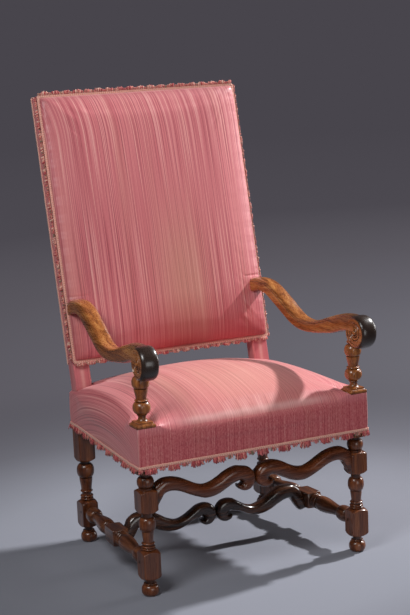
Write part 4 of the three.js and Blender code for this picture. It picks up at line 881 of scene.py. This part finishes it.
def drawn_tight(grid, limit, held, rows=54, columns=150):
    """A cover pulled over its stuffing: a thinned copy of the shell is a cloth, held where held()
    says, and blown out a little for 20 frames with no gravity. How far each of its points
    moved, at most limit, is spread back over the fine shell along the grid's two directions."""
    small, r, c = coarse(grid, rows, columns)
    points, quads, triangles, _ = skin(small)
    mesh = bpy.data.meshes.new("cloth")
    mesh.from_pydata(placed(points), [], quads.tolist() + triangles.tolist())
    cover = bpy.data.objects.new("cloth", mesh)
    bpy.context.scene.collection.objects.link(cover)
    group = cover.vertex_groups.new(name="held")
    group.add(np.flatnonzero(held(points)).tolist(), 1.0, "REPLACE")
    cloth = cover.modifiers.new("cloth", "CLOTH")
    cloth.settings.vertex_group_mass = "held"
    cloth.settings.quality = 5
    cloth.settings.tension_stiffness = cloth.settings.compression_stiffness = 40
    cloth.settings.bending_stiffness = 0.6
    cloth.settings.use_pressure = True
    cloth.settings.uniform_pressure_force = 4.0
    cloth.settings.effector_weights.gravity = 0.0
    cloth.point_cache.frame_start, cloth.point_cache.frame_end = 1, 20
    for step in range(1, 21):
        bpy.context.scene.frame_set(step)
    shape = cover.evaluated_get(bpy.context.evaluated_depsgraph_get())
    moved = np.empty(len(points) * 3)
    shape.data.vertices.foreach_get("co", moved)
    move = moved.reshape(-1, 3) / MM - placed(points) / MM
    bpy.data.objects.remove(cover)
    bpy.data.meshes.remove(mesh)
    bpy.context.scene.frame_set(1)
    size = np.linalg.norm(move, axis=1, keepdims=True)
    move = move * (limit * np.tanh(size / limit) / np.maximum(size, 1e-9))
    move = move[:len(r) * len(c)].reshape(len(r), len(c), 3)
    rows_at = np.interp(np.arange(grid.shape[0]), r, np.arange(len(r)))
    low = np.minimum(rows_at.astype(int), len(r) - 2)
    t = (rows_at - low)[:, None, None]
    move = move[low] * (1 - t) + move[low + 1] * t
    ring = np.append(c, grid.shape[1])
    columns_at = np.interp(np.arange(grid.shape[1]), ring, np.arange(len(ring)))
    low = columns_at.astype(int)
    t = (columns_at - low)[None, :, None]
    move = move[:, low % len(c)] * (1 - t) + move[:, (low + 1) % len(c)] * t
    return grid + move


def seat_held(points):
    """Where the seat's cover is nailed or lies on the frame: hem, inside, walls and posts."""
    x, y, z = points.T
    near = np.minimum(to_post(x, y, FRONT_X, 0), to_post(x, y, REAR_X, LEG_DEPTH))
    return (z < SEAT_EDGE_Z - 30) | (near < 10)


seat_pad = make("seat_pad", seat_piece(), SEAT_SILK, 60, ("seat_cover", "seat_stuffing"))


# ---------------------------------------------------------------- back
def back_corners(inset):
    """The corners of the back panel's face in its raked plane, from the lower left round."""
    low, top, half = BACK_LOW + inset, BACK_TOP - inset, BACK_HALF - inset
    return np.array([[-half, low], [half, low], [half, top], [-half, top]])


def back_outline(inset):
    """Round the back panel's face, its corners eased."""
    line = along_path(back_corners(inset), count=OUTLINE_COUNT)[0]
    for _ in range(2):
        line = (np.roll(line, 1, axis=0) + 2 * line + np.roll(line, -1, axis=0)) / 4
    return line


def back_bulge(x, z):
    """How far the back's front face stands out before its edge: inside a flat border a roll of
    power 11 across and 18 up, and a dome over the whole width, with small pulls along the sides
    where the cover is nailed, faint folds in the upper corners, and a flap above each arm."""
    u = x / (BACK_HALF - BACK_BORDER)
    v = (z - (BACK_LOW + BACK_TOP) / 2) / ((BACK_TOP - BACK_LOW) / 2 - BACK_BORDER)
    out = BACK_ROLL * rounded(u, 11) * rounded(v, 18) + BACK_CROWN * crowned(u) * crowned(v)
    from_side = BACK_HALF - BACK_BORDER - np.abs(x)
    pulls = np.cos(2 * math.pi * z / 46 + 0.8 * np.sin(z / 60)) ** 3
    out = out + 0.9 * pulls * np.exp(-(from_side / 22) ** 2) * np.clip(from_side / 3, 0, 1)
    from_top = BACK_TOP - BACK_BORDER - z
    corner = np.exp(-(((from_side / 45) ** 2 + (from_top / 45) ** 2)))
    fold = np.sin((from_side - from_top) / 5.5)
    out = out + 0.5 * corner * fold * np.clip(np.minimum(from_side, from_top) / 4, 0, 1)
    flap = np.exp(-((z - 259 + 0.03 * from_side) / 1.8) ** 2) \
        * np.clip((56 - from_side) / 8, 0, 1) * np.clip(from_side / 4, 0, 1)
    return out - 1.8 * flap


def back_shell():
    """The stuffed back under its cover: from the middle of its rear out to the sides, forward to
    the front edge, and in over the crowned face, whose sides stand out by up to 5 mm over their
    foot. Places are (x, y to the rear, z up the rake)."""
    outline = back_outline(0.0)
    inner = back_outline(1.0)
    middle = np.array([0.0, (BACK_LOW + BACK_TOP) / 2])
    count = len(outline)
    rows = []
    for share in (0.06, 0.4, 0.8, 0.97, 1.0):
        flat = middle + (inner - middle) * share
        rows.append(np.stack([flat[:, 0], np.full(count, STILE_DEPTH), flat[:, 1]], -1))
    for y in np.linspace(STILE_DEPTH - 1, -BACK_MARGIN, 14):
        rows.append(np.stack([outline[:, 0], np.full(count, y), outline[:, 1]], -1))
    lift = np.sin(np.linspace(math.pi / 2, 0, 110)) ** 0.55
    for share in lift[1:-1]:
        flat = middle + (outline - middle) * share
        out = back_bulge(flat[:, 0], flat[:, 1])
        over = 5 * np.sin(math.pi * np.clip(out / 25, 0, 1)) \
            * np.clip((np.abs(flat[:, 0]) - 240) / 30, 0, 1)
        rows.append(np.stack([flat[:, 0] + np.sign(flat[:, 0]) * over, -BACK_MARGIN - out,
                              flat[:, 1]], -1))
    return np.stack(rows)


def back_weave(local):
    """Millimetres across the back's stripes and along them: across is X on the face, and past the
    sides' front edge it goes on round to the rear. Over the top 130 mm the cloth is pulled
    towards the left, by up to 26 mm at its left edge and 8 mm at its right."""
    x, y, z = local.T
    side = (np.abs(x) > BACK_HALF - 2) & (y > -BACK_MARGIN - 1)
    high = np.clip((z - BACK_TOP + 130) / 130, 0, 1)
    across = np.where(side, np.sign(x) * (BACK_HALF + y + BACK_MARGIN),
                      x + high ** 2 * (17 - 9 * x / BACK_HALF))
    return np.stack([across, z, np.zeros_like(x)], -1)


def back_piece():
    """The back's pad with its stripes. It is painted a deeper red towards its lower edge, more to
    the right, as painted shade and the seat's reflected red, and darker along its top and left
    rolls as painted shade.
    """
    points, quads, triangles, _ = skin(unraked(drawn_tight(raked(back_shell()), 1.2, back_held)))
    x, y, z = points.T
    # painted shade and reflected red: a deeper red towards the lower edge, strongest at the right
    low = np.clip(1 - (z - BACK_LOW) / 150, 0, 1) ** 1.1 * np.clip((x + 230) / 200, 0.3, 1)
    side = (np.abs(x) > BACK_HALF - 2) & (y > -BACK_MARGIN)
    inside = np.abs(x) < BACK_HALF - 1
    # painted shade along the top roll and the left roll, kept as soil
    top = np.exp(-(np.clip(BACK_TOP - BACK_BORDER - z, 0, None) / 20) ** 2)
    left = np.exp(-(np.clip(x + BACK_HALF - BACK_BORDER, 0, None) / 9) ** 2)
    # a beige patch low in the middle: faded dye
    faded = np.exp(-((x - 40) / 75) ** 2 - ((z - 250) / 190) ** 2)
    return raked(points), quads, triangles, {
        "weave": back_weave(points), "depth": 0.85 * low, "drawn": 0.12 + 0.4 * side,
        "fold": 0.0 * low, "faded": 0.42 * faded * inside,
        "soil": inside * np.clip(0.45 * top + 0.25 * left, 0, 0.5)}


def back_held(points):
    """Where the back's cover is nailed or lies on the frame: all but its crowned face, from 16 mm
    before the flat border on."""
    return unraked(points)[:, 1] > -BACK_MARGIN - 16


back_pad = make("back_pad", back_piece(), BACK_SILK, 60, ("back_cover", "back_stuffing"))


# ---------------------------------------------------------------- thin cloth
def sheet_shell(u, v, place, thickness, weave):
    """A thin closed sheet over a grid of u by v: its face, then its rear one thickness behind.
    place(u, v, d) gives a point at depth d, and weave(u, v) its place in the cloth."""
    U, V = np.meshgrid(u, v)
    n, m = U.shape
    face, rear = place(U, V, 0.0), place(U, V, thickness)
    points = np.concatenate([face.reshape(-1, 3), rear.reshape(-1, 3)])
    r, c = np.meshgrid(np.arange(n - 1), np.arange(m - 1), indexing="ij")
    quad = np.stack([r * m + c, r * m + c + 1, (r + 1) * m + c + 1, (r + 1) * m + c], -1)
    quad = quad.reshape(-1, 4)
    rim = np.concatenate([np.arange(m), np.arange(1, n) * m + m - 1,
                          (n - 1) * m + np.arange(m - 2, -1, -1), np.arange(n - 2, 0, -1) * m])
    on = np.roll(rim, -1)
    edge = np.stack([rim, rim + n * m, on + n * m, on], -1)
    cloth = np.tile(weave(U, V).reshape(-1, 3), (2, 1))
    none = np.zeros(len(points))
    return (points, np.concatenate([quad, quad[:, ::-1] + n * m, edge]), np.zeros((0, 3), int),
            {"weave": cloth, "depth": none, "drawn": none + 0.1, "fold": none, "faded": none,
             "soil": none})


def flat_weave(u, v):
    """Cloth laid flat: its millimetres are the grid's own."""
    return np.stack([u, v, np.zeros_like(u)], -1)


def rear_cover():
    """The plain cover of the back's rear, drawn hollow by 0.8 mm between its edges."""
    middle, half_height = (BACK_LOW + BACK_TOP) / 2, (BACK_TOP - BACK_LOW) / 2
    def place(u, v, d):
        hollow = 0.78 * (1 - (u / BACK_HALF) ** 4) * (1 - ((v - middle) / half_height) ** 4)
        return raked(np.stack([u, STILE_DEPTH + 1.9 - hollow - d, v], -1))
    return sheet_shell(np.linspace(-BACK_HALF + 0.5, BACK_HALF - 0.5, 90),
                       np.linspace(BACK_LOW + 0.5, BACK_TOP - 0.5, 110), place, 1.0, flat_weave)


def stile_sleeve(side):
    """Silk drawn round the bare length of a stile, as a tube with eased corners and slight folds
    where it is gathered above the seat."""
    x0, x1 = STILE_IN - 1.6, BACK_HALF - 0.2
    y0, y1 = -1.6, STILE_DEPTH + 1.6
    a = np.linspace(0, 2 * math.pi, 96, endpoint=False)
    px, py = signed_power(np.cos(a), 2 / 14), signed_power(np.sin(a), 2 / 14)
    z = np.linspace(12, BACK_LOW + 2, 30)
    pull = np.exp(-(z - 12) / 26)[:, None] * np.sin(7 * a + 1.3)[None] * 0.7
    x = side * ((x0 + x1) / 2 + px[None] * ((x1 - x0) / 2 + pull))
    y = (y0 + y1) / 2 + py[None] * ((y1 - y0) / 2 + pull) + 0 * z[:, None]
    inner_x = side * ((x0 + x1) / 2 + px[None] * ((x1 - x0) / 2 - 1.3) + 0 * z[:, None])
    inner_y = (y0 + y1) / 2 + py[None] * ((y1 - y0) / 2 - 1.3) + 0 * z[:, None]
    Z = np.broadcast_to(z[:, None], x.shape)
    outer, inner = np.stack([x, y, Z], -1), np.stack([inner_x, inner_y, Z], -1)
    grid = np.concatenate([outer, inner[::-1]])
    around = np.broadcast_to(a * 24, x.shape)
    weave = np.stack([around, Z, 0 * Z], -1)
    weave = np.concatenate([weave, weave[::-1]])
    none = np.zeros(grid.shape[:2])
    return skin(raked(grid), ring=True, weave=weave, depth=none + 0.1, drawn=none + 0.1, fold=none,
                faded=none, soil=none)


rear_sheet = make("back_rear_silk", rear_cover(), BACK_SILK, None, ("back_rear_cover",))
for word, side in (("left", -1), ("right", 1)):
    sleeve = make(f"stile_silk_{word}", stile_sleeve(side), BACK_SILK, None,
                  (f"stile_sleeve_{word}",))


def strap(node, long):
    """Webbing of the seat, drawn tight where its CAD solid lies, with a slight sag and waves."""
    low, high = (np.array(corner) / MM - [0, FRONT_LEG_Y / MM, 0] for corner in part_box(node))
    across = 1 - long
    def place(u, v, d):
        point = np.zeros(u.shape + (3,))
        point[..., across], point[..., long] = u, v
        share = (v - v.min()) / (v.max() - v.min())
        point[..., 2] = high[2] - d - 0.35 * np.sin(math.pi * share) + 0.1 * np.sin(v / 23 + u / 17)
        return point
    return sheet_shell(np.linspace(low[across], high[across], 12),
                       np.linspace(low[long], high[long], 60), place, 1.5, flat_weave)


def raked_strap(node, long):
    """Webbing of the back, drawn tight in the raked plane, where its CAD solid lies."""
    points = np.empty(len(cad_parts[node].data.vertices) * 3)
    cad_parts[node].data.vertices.foreach_get("co", points)
    local = unraked(points.reshape(-1, 3) / MM - [0, FRONT_LEG_Y / MM, 0])
    low, high = local.min(0), local.max(0)
    across = 2 - long
    def place(u, v, d):
        point = np.zeros(u.shape + (3,))
        point[..., across], point[..., long] = u, v
        share = (v - v.min()) / (v.max() - v.min())
        point[..., 1] = low[1] + 0.2 + d + 0.3 * np.sin(math.pi * share)
        return raked(point)
    return sheet_shell(np.linspace(low[across], high[across], 12),
                       np.linspace(low[long], high[long], 60), place, 1.3, flat_weave)


# Each row: the straps' name, how many there are, their shell, and the axis they run along
for straps, count, shell, long in (
        ("seat_strap_along", 4, strap, 1), ("seat_strap_across", 3, strap, 0),
        ("back_strap_up", 2, raked_strap, 2), ("back_strap_across", 4, raked_strap, 0)):
    for i in range(1, count + 1):
        name = f"{straps}_{i}"
        make(f"{name}_webbing", shell(name, long), WEBBING, None, (name,))


def seat_hessian():
    """Hessian over the seat's webbing, cut to the seat's plan, with waves of 0.15 mm. Across, its
    grid goes from -1 to 1."""
    def weave(u, v):
        return flat_weave(u * (seat_half(v) - HESSIAN_INSET), v)
    def place(u, v, d):
        x = weave(u, v)[..., 0]
        z = STUFFING_Z - 0.6 - d + 0.15 * np.sin(x / 20) * np.sin(v / 24)
        return np.stack([x, v, z], -1)
    depth = np.linspace(SEAT_FRONT_Y + HESSIAN_INSET, SEAT_REAR_Y - HESSIAN_INSET, 50)
    return sheet_shell(np.linspace(-1, 1, 60), depth, place, 0.7, weave)


def back_hessian():
    """Hessian over the back's webbing, in the raked plane, with waves of 0.1 mm."""
    def place(u, v, d):
        return raked(np.stack([u, -5.75 + d + 0.1 * np.sin(u / 20) * np.sin(v / 24), v], -1))
    half = BACK_HALF - HESSIAN_INSET
    up = np.linspace(BACK_LOW + HESSIAN_INSET, BACK_TOP - HESSIAN_INSET, 70)
    return sheet_shell(np.linspace(-half, half, 60), up, place, 0.7, flat_weave)


seat_sheet = make("seat_hessian_cloth", seat_hessian(), HESSIAN, None, ("seat_hessian",))
back_sheet = make("back_hessian_cloth", back_hessian(), HESSIAN, None, ("back_hessian",))


# ---------------------------------------------------------------- braid and fringe
SALMON, CREAM, RED, ROSE, SAGE = (np.array(hex_colour(c)) for c in (
    "#dd8f80", "#eec1ae", "#b04248", "#cc6a68", "#8d7a62"))


def gimp(line, out, up, run, width=BRAID_WIDTH, ring=True):
    """Corded braid along a line: a flattened section, width wide and 2.5 mm thick, whose two edge
    cords and middle plait swell and pinch every 3 mm. out points off the cloth, and up over the
    braid's width."""
    a = np.linspace(0, 2 * math.pi, 12, endpoint=False)
    beat = 0.24 * np.cos(2 * math.pi * run / 3.0)[:, None] * np.cos(3 * a)[None]
    thick = 1.25 * signed_power(np.sin(a), 0.7)[None] * (1 + beat)
    wide = width / 2 * signed_power(np.cos(a), 0.8)[None] * (1 + 0.3 * beat)
    grid = line[:, None] + out[:, None] * (thick[..., None] + 1.1) + up[:, None] * wide[..., None]
    tint = 0.5 + 0.5 * np.cos(2 * math.pi * run / 6.0)[:, None] * np.cos(2 * a)[None]
    dye = SALMON * (1 - tint[..., None]) + CREAM * tint[..., None]
    return skin(grid, ring=ring, dye=dye)


# One cut thread: a four-sided spindle of unit length and width, thickest past its middle
THREAD_ROWS = np.array([[0.0, 0.55], [0.45, 0.95], [0.8, 1.0], [1.0, 0.35]])
THREAD_SIDES = np.array([[1, 0], [0, 1], [-1, 0], [0, -1]], float)
THREAD = np.concatenate([np.broadcast_to(THREAD_ROWS[:, None, :1], (4, 4, 1)),
                         THREAD_SIDES[None] * THREAD_ROWS[:, None, 1:]], -1)


def tufts(line, out, hang, way, rest, spacing=TUFT_SPACING, size=1.0,
          lobe_dyes=(RED, RED, ROSE, ROSE, SALMON)):
    """Cut tufts below a braid. Every spacing a red tuft of two lobes fans out over 30 mm and hangs
    18 mm, with a smaller one in rose and sage halfway to the next, and a skirt of short salmon
    ends fills the rest. size scales all three. Each thread is a spindle from its root in the braid
    along its own direction; random lengths, sways and dyes come from a fixed seed."""
    roots, directions, lengths, widths, dyes, sides, fronts = [], [], [], [], [], [], []
    def bundle(middle, count, spread, splay, length, colours, width, depths=(0.6, 2.2)):
        share = np.linspace(-1, 1, count)
        for depth in depths:
            place = middle + share * spread * size / 2 + random.normal(0, 0.5, count)
            at = np.interp(place, rest, np.arange(len(rest)))
            i = np.clip(np.round(at).astype(int), 0, len(rest) - 1)
            shift = np.clip(place - rest[i], -1, 1)[:, None]
            roots.append(line[i] + way[i] * shift + out[i] * (depth + 0.4))
            sway = share * splay + random.normal(0, 0.08, count)
            lean = random.normal(0.06, 0.08, count) * (1 + depth / 2)
            directions.append(hang[i] + way[i] * sway[:, None] + out[i] * lean[:, None])
            lengths.append(length * size * (1 - 0.16 * share ** 2)
                           * random.uniform(0.84, 1.08, count))
            widths.append(np.full(count, width) * random.uniform(0.8, 1.2, count))
            pick = random.integers(0, len(colours), count)
            shade = random.uniform(0.78, 1.15, count)[:, None]
            dyes.append(np.array(colours)[pick] * shade)
            sides.append(way[i])
            fronts.append(out[i])
    count = max(1, int(round(rest[-1] / spacing)))
    step = rest[-1] / count
    skirt = max(4, int(step / 2.6))
    for middle in (np.arange(count) + 0.5) * step:
        bundle(middle, skirt, step / size, 0.0, 6.5, [ROSE, SALMON, RED, SALMON], 1.4, (0.4,))
        for lobe in (-6.0, 6.0):
            bundle(middle + lobe * size, int(5 + 3 * size), 13, 0.24,
                   17.5 * random.uniform(0.9, 1.05), lobe_dyes, 1.6)
        bundle(middle - step / 2, 5, 9, 0.26, 11.5, [ROSE, ROSE, SALMON, SAGE], 1.4)
    roots, directions = np.concatenate(roots), np.concatenate(directions)
    directions = directions / np.linalg.norm(directions, axis=1)[:, None]
    lengths, widths, dyes = np.concatenate(lengths), np.concatenate(widths), np.concatenate(dyes)
    sides, fronts = np.concatenate(sides), np.concatenate(fronts)
    rows = THREAD.reshape(-1, 3)
    copies = (roots[:, None] + directions[:, None] * (rows[None, :, :1] * lengths[:, None, None])
              + sides[:, None] * (rows[None, :, 1:2] * widths[:, None, None])
              + fronts[:, None] * (rows[None, :, 2:] * widths[:, None, None] * 0.7))
    _, quads, triangles, _ = skin(THREAD)
    ends = np.stack([copies[:, :4].mean(1), copies[:, 12:16].mean(1)], 1)
    copies = np.concatenate([copies, ends], 1)
    dye = np.repeat(dyes, copies.shape[1], axis=0)
    return repeated(quads, triangles, {"dye": dye}, copies)


def seat_trim():
    """Braid round the hem with the tufts below it."""
    right = np.array([[SEAT_FRONT_HALF, SEAT_FRONT_Y], [SEAT_FRONT_HALF, SEAT_TAPER_Y],
                      [SEAT_REAR_HALF, SEAT_TAPER_END_Y], [SEAT_REAR_HALF, SEAT_REAR_Y]])
    left = right[::-1] * [-1, 1]
    corners = np.concatenate([left[-1:], right, left[:-1]])
    line, way, _, run = along_path(corners, 0.75)
    line3 = np.c_[line, np.full(len(line), HEM_Z + BRAID_WIDTH / 2)]
    way3 = np.c_[way, np.zeros(len(way))]
    out3 = np.c_[way[:, 1], -way[:, 0], np.zeros(len(way))]
    up3 = np.broadcast_to([0.0, 0.0, 1.0], line3.shape)
    low = line3 - up3 * (BRAID_WIDTH / 2 - 1.0)
    return joined([gimp(line3, out3, up3, run), tufts(low, out3, -up3, way3, run)])


def back_trim():
    """Braid on the flat border round the back's face, with tufts from its outer side that stand up
    along the top, hang below the bottom and are folded to the rear over the sides."""
    line, way, edge, run = along_path(back_corners(BACK_BORDER / 2), 1.0)
    line3 = np.stack([line[:, 0], np.full(len(line), -BACK_MARGIN), line[:, 1]], -1)
    way3 = np.stack([way[:, 0], 0 * run, way[:, 1]], -1)
    out3 = np.stack([way[:, 1], 0 * run, -way[:, 0]], -1)
    face3 = np.broadcast_to([0.0, -1.0, 0.0], line3.shape)
    upright = (edge % 2 == 0)[:, None]
    hang = np.where(upright, out3, 0.55 * out3 - 0.95 * face3 - np.array([0.0, 0.0, 0.25]))
    across = np.where(upright, face3, 0.9 * out3 + 0.5 * face3)
    root = line3 + out3 * np.where(upright, BRAID_WIDTH / 2 - 1, BRAID_WIDTH / 2 + 0.6)
    braid = gimp(line3, face3, out3, run, width=BRAID_WIDTH + 1)
    cut = tufts(root, across, hang, way3, run, 31.0, 0.6, (RED, ROSE, SALMON, SALMON, CREAM))
    points, quads, triangles, values = joined([braid, cut])
    return raked(points), quads, triangles, values


def rear_trim():
    """Plain braid down both rear edges of the back and across its top."""
    corners = np.array([[-BACK_HALF, BACK_LOW], [-BACK_HALF, BACK_TOP], [BACK_HALF, BACK_TOP],
                        [BACK_HALF, BACK_LOW]])
    line, way, _, run = along_path(corners, 0.75, closed=False)
    y = STILE_DEPTH + 1.8 - BRAID_WIDTH / 2
    line3 = np.stack([line[:, 0], np.full(len(line), y), line[:, 1]], -1)
    out3 = np.stack([-way[:, 1], 0 * run, way[:, 0]], -1)
    back3 = np.broadcast_to([0.0, 1.0, 0.0], line3.shape)
    points, quads, triangles, values = gimp(line3, out3, back3, run, ring=False)
    return raked(points), quads, triangles, values


make("seat_braid_and_tufts", seat_trim(), TRIM, None, ("seat_fringe",))
make("back_braid_and_tufts", back_trim(), TRIM, None, ("back_fringe",))
make("back_rear_gimp", rear_trim(), TRIM, None, ("back_rear_braid",))


# ---------------------------------------------------------------- what stays from the frame
def dress(node, finish):
    """A CAD node keeps its shape and takes a finish."""
    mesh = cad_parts[node].data
    mesh.materials.clear()
    mesh.materials.append(finish)


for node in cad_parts:
    if "peg" in node:
        dress(node, PEG_WOOD)
    elif "_rail_" in node:
        dress(node, BEECH)


# ---------------------------------------------------------------- stage
# The stage is in metres: the floor's radius, and how far from the chair it has faded to the grey
# behind everything
FLOOR_RADIUS, FLOOR_FADE, BEHIND = 15.0, 12.0, "#48454c"


def stage_floor():
    """A plain floor, 30 m across, painted pale round the chair and greyer further off, a painted
    falloff of light. Only the part within 2 m takes light and shadow. The rest glows with its
    painted colour as it is written."""
    material = bpy.data.materials.new("painted_floor")
    material.use_nodes = True
    tree = material.node_tree
    tree.nodes.clear()
    place = add(tree, "ShaderNodeTexCoord").outputs["Object"]
    away = add(tree, "ShaderNodeVectorMath", {0: place}, operation="LENGTH").outputs["Value"]
    # painted falloff of light: the lit floor's colour darkens away from the chair
    near = ramp(tree, spread(tree, away, 0.0, FLOOR_FADE), (0.0, "#90929d"), (0.05, "#8b8d97"),
                (0.09, "#6c6c74"), (0.14, "#54535a"))
    # painted shade: the far floor's glow is darker towards the left
    aside = add(tree, "ShaderNodeVectorMath", {0: place, 1: (-2.4, -1.0, 0.0)}, operation="ADD")
    far_away = add(tree, "ShaderNodeVectorMath", {0: aside.outputs[0]}, operation="LENGTH")
    far = ramp(tree, spread(tree, far_away.outputs["Value"], 0.0, FLOOR_FADE), (0.05, "#6f6e76"),
               (0.14, "#64626a"), (0.25, "#5a575e"), (0.42, "#4c4950"), (0.95, BEHIND))
    lit = add(tree, "ShaderNodeBsdfDiffuse", {"Color": near})
    # the far floor glows with its painted colour instead of taking the lamps' light
    plain = add(tree, "ShaderNodeEmission", {"Color": far, "Strength": 1.0})
    blend = add(tree, "ShaderNodeMapRange", {"Value": away, "From Min": 0.7, "From Max": 2.0},
                interpolation_type="SMOOTHSTEP")
    mixed = add(tree, "ShaderNodeMixShader", {0: blend.outputs[0], 1: lit.outputs[0],
        2: plain.outputs[0]})
    add(tree, "ShaderNodeOutputMaterial", {"Surface": mixed.outputs[0]})
    mesh = bpy.data.meshes.new("floor")
    a = np.linspace(0, 2 * math.pi, 96, endpoint=False)
    rim = FLOOR_RADIUS * np.stack([np.cos(a), np.sin(a), 0 * a], -1)
    mesh.from_pydata(rim, [], [list(range(len(a)))])
    floor = bpy.data.objects.new("floor", mesh)
    bpy.context.scene.collection.objects.link(floor)
    mesh.materials.append(material)


def stage_world():
    """Grey behind everything, for the camera and in reflections, and weak even light."""
    world = bpy.data.worlds.new("studio")
    bpy.context.scene.world = world
    world.use_nodes = True
    tree = world.node_tree
    tree.nodes.clear()
    rays = add(tree, "ShaderNodeLightPath").outputs
    seen = reckon(tree, "MAXIMUM", rays["Is Camera Ray"], rays["Is Glossy Ray"])
    seen = reckon(tree, "MAXIMUM", seen, rays["Is Transmission Ray"])
    behind = add(tree, "ShaderNodeBackground", {"Color": hex_colour(BEHIND), "Strength": 1.0})
    glow = add(tree, "ShaderNodeBackground", {"Color": hex_colour("#e9ecf5"), "Strength": 0.03})
    both = add(tree, "ShaderNodeMixShader", {0: seen, 1: glow.outputs[0],
        2: behind.outputs[0]})
    add(tree, "ShaderNodeOutputWorld", {"Surface": both.outputs[0]})


def lamp(name, place, aim, size, power):
    """A square soft box in the chair's frame, in metres and watts, turned towards aim."""
    data = bpy.data.lights.new(name, "AREA")
    data.shape, data.size, data.energy = "SQUARE", size, power
    light = bpy.data.objects.new(name, data)
    light.visible_camera = False
    bpy.context.scene.collection.objects.link(light)
    towards = np.array(place, float) - np.array(aim, float)
    towards /= np.linalg.norm(towards)
    right = np.cross([0, 0, 1], towards)
    right /= np.linalg.norm(right)
    up = np.cross(towards, right)
    matrix = np.eye(4)
    matrix[:3, :3] = np.stack([right, up, towards], 1)
    matrix[:3, 3] = place
    light.matrix_world = Matrix(matrix)


def stage_camera():
    """The picture's own viewpoint: 26 degrees to the chair's left, 10.7 above level, 4.04 m off,
    rolled by 2.3 degrees."""
    azimuth, height, roll = math.radians(-25.955), math.radians(10.693), math.radians(-2.336)
    back = np.array([math.sin(azimuth) * math.cos(height), -math.cos(azimuth) * math.cos(height),
                     math.sin(height)])
    level = np.cross(-back, [0, 0, 1])
    level /= np.linalg.norm(level)
    upright = np.cross(level, -back)
    right = level * math.cos(roll) + upright * math.sin(roll)
    up = upright * math.cos(roll) - level * math.sin(roll)
    matrix = np.eye(4)
    matrix[:3, :3] = np.stack([right, up, back], 1)
    matrix[:3, 3] = placed(np.array([-19.018, 200.0, 649.62]) + back * 4043.27)
    data = bpy.data.cameras.new("camera")
    data.sensor_width, data.lens = 36.0, 1586.303 / 615 * 36
    data.clip_start, data.clip_end = 0.1, 100.0
    camera = bpy.data.objects.new("camera", data)
    bpy.context.scene.collection.objects.link(camera)
    camera.matrix_world = Matrix(matrix)
    bpy.context.scene.camera = camera


stage_floor()
stage_world()
lamp("key", (3.46, 0.3, 3.24), (0.0, 0.0, 0.55), 0.2, 275)
lamp("front", (0.0, -3.2, 0.8), (0.0, 0.0, 0.6), 1.3, 16)
lamp("left", (-1.6, -1.1, 2.2), (-0.2, 0.1, 1.0), 0.9, 36)
lamp("right", (3.1, 0.0, 1.2), (0.0, 0.0, 0.6), 0.8, 26)
stage_camera()
bpy.context.scene.view_settings.view_transform = "Standard"
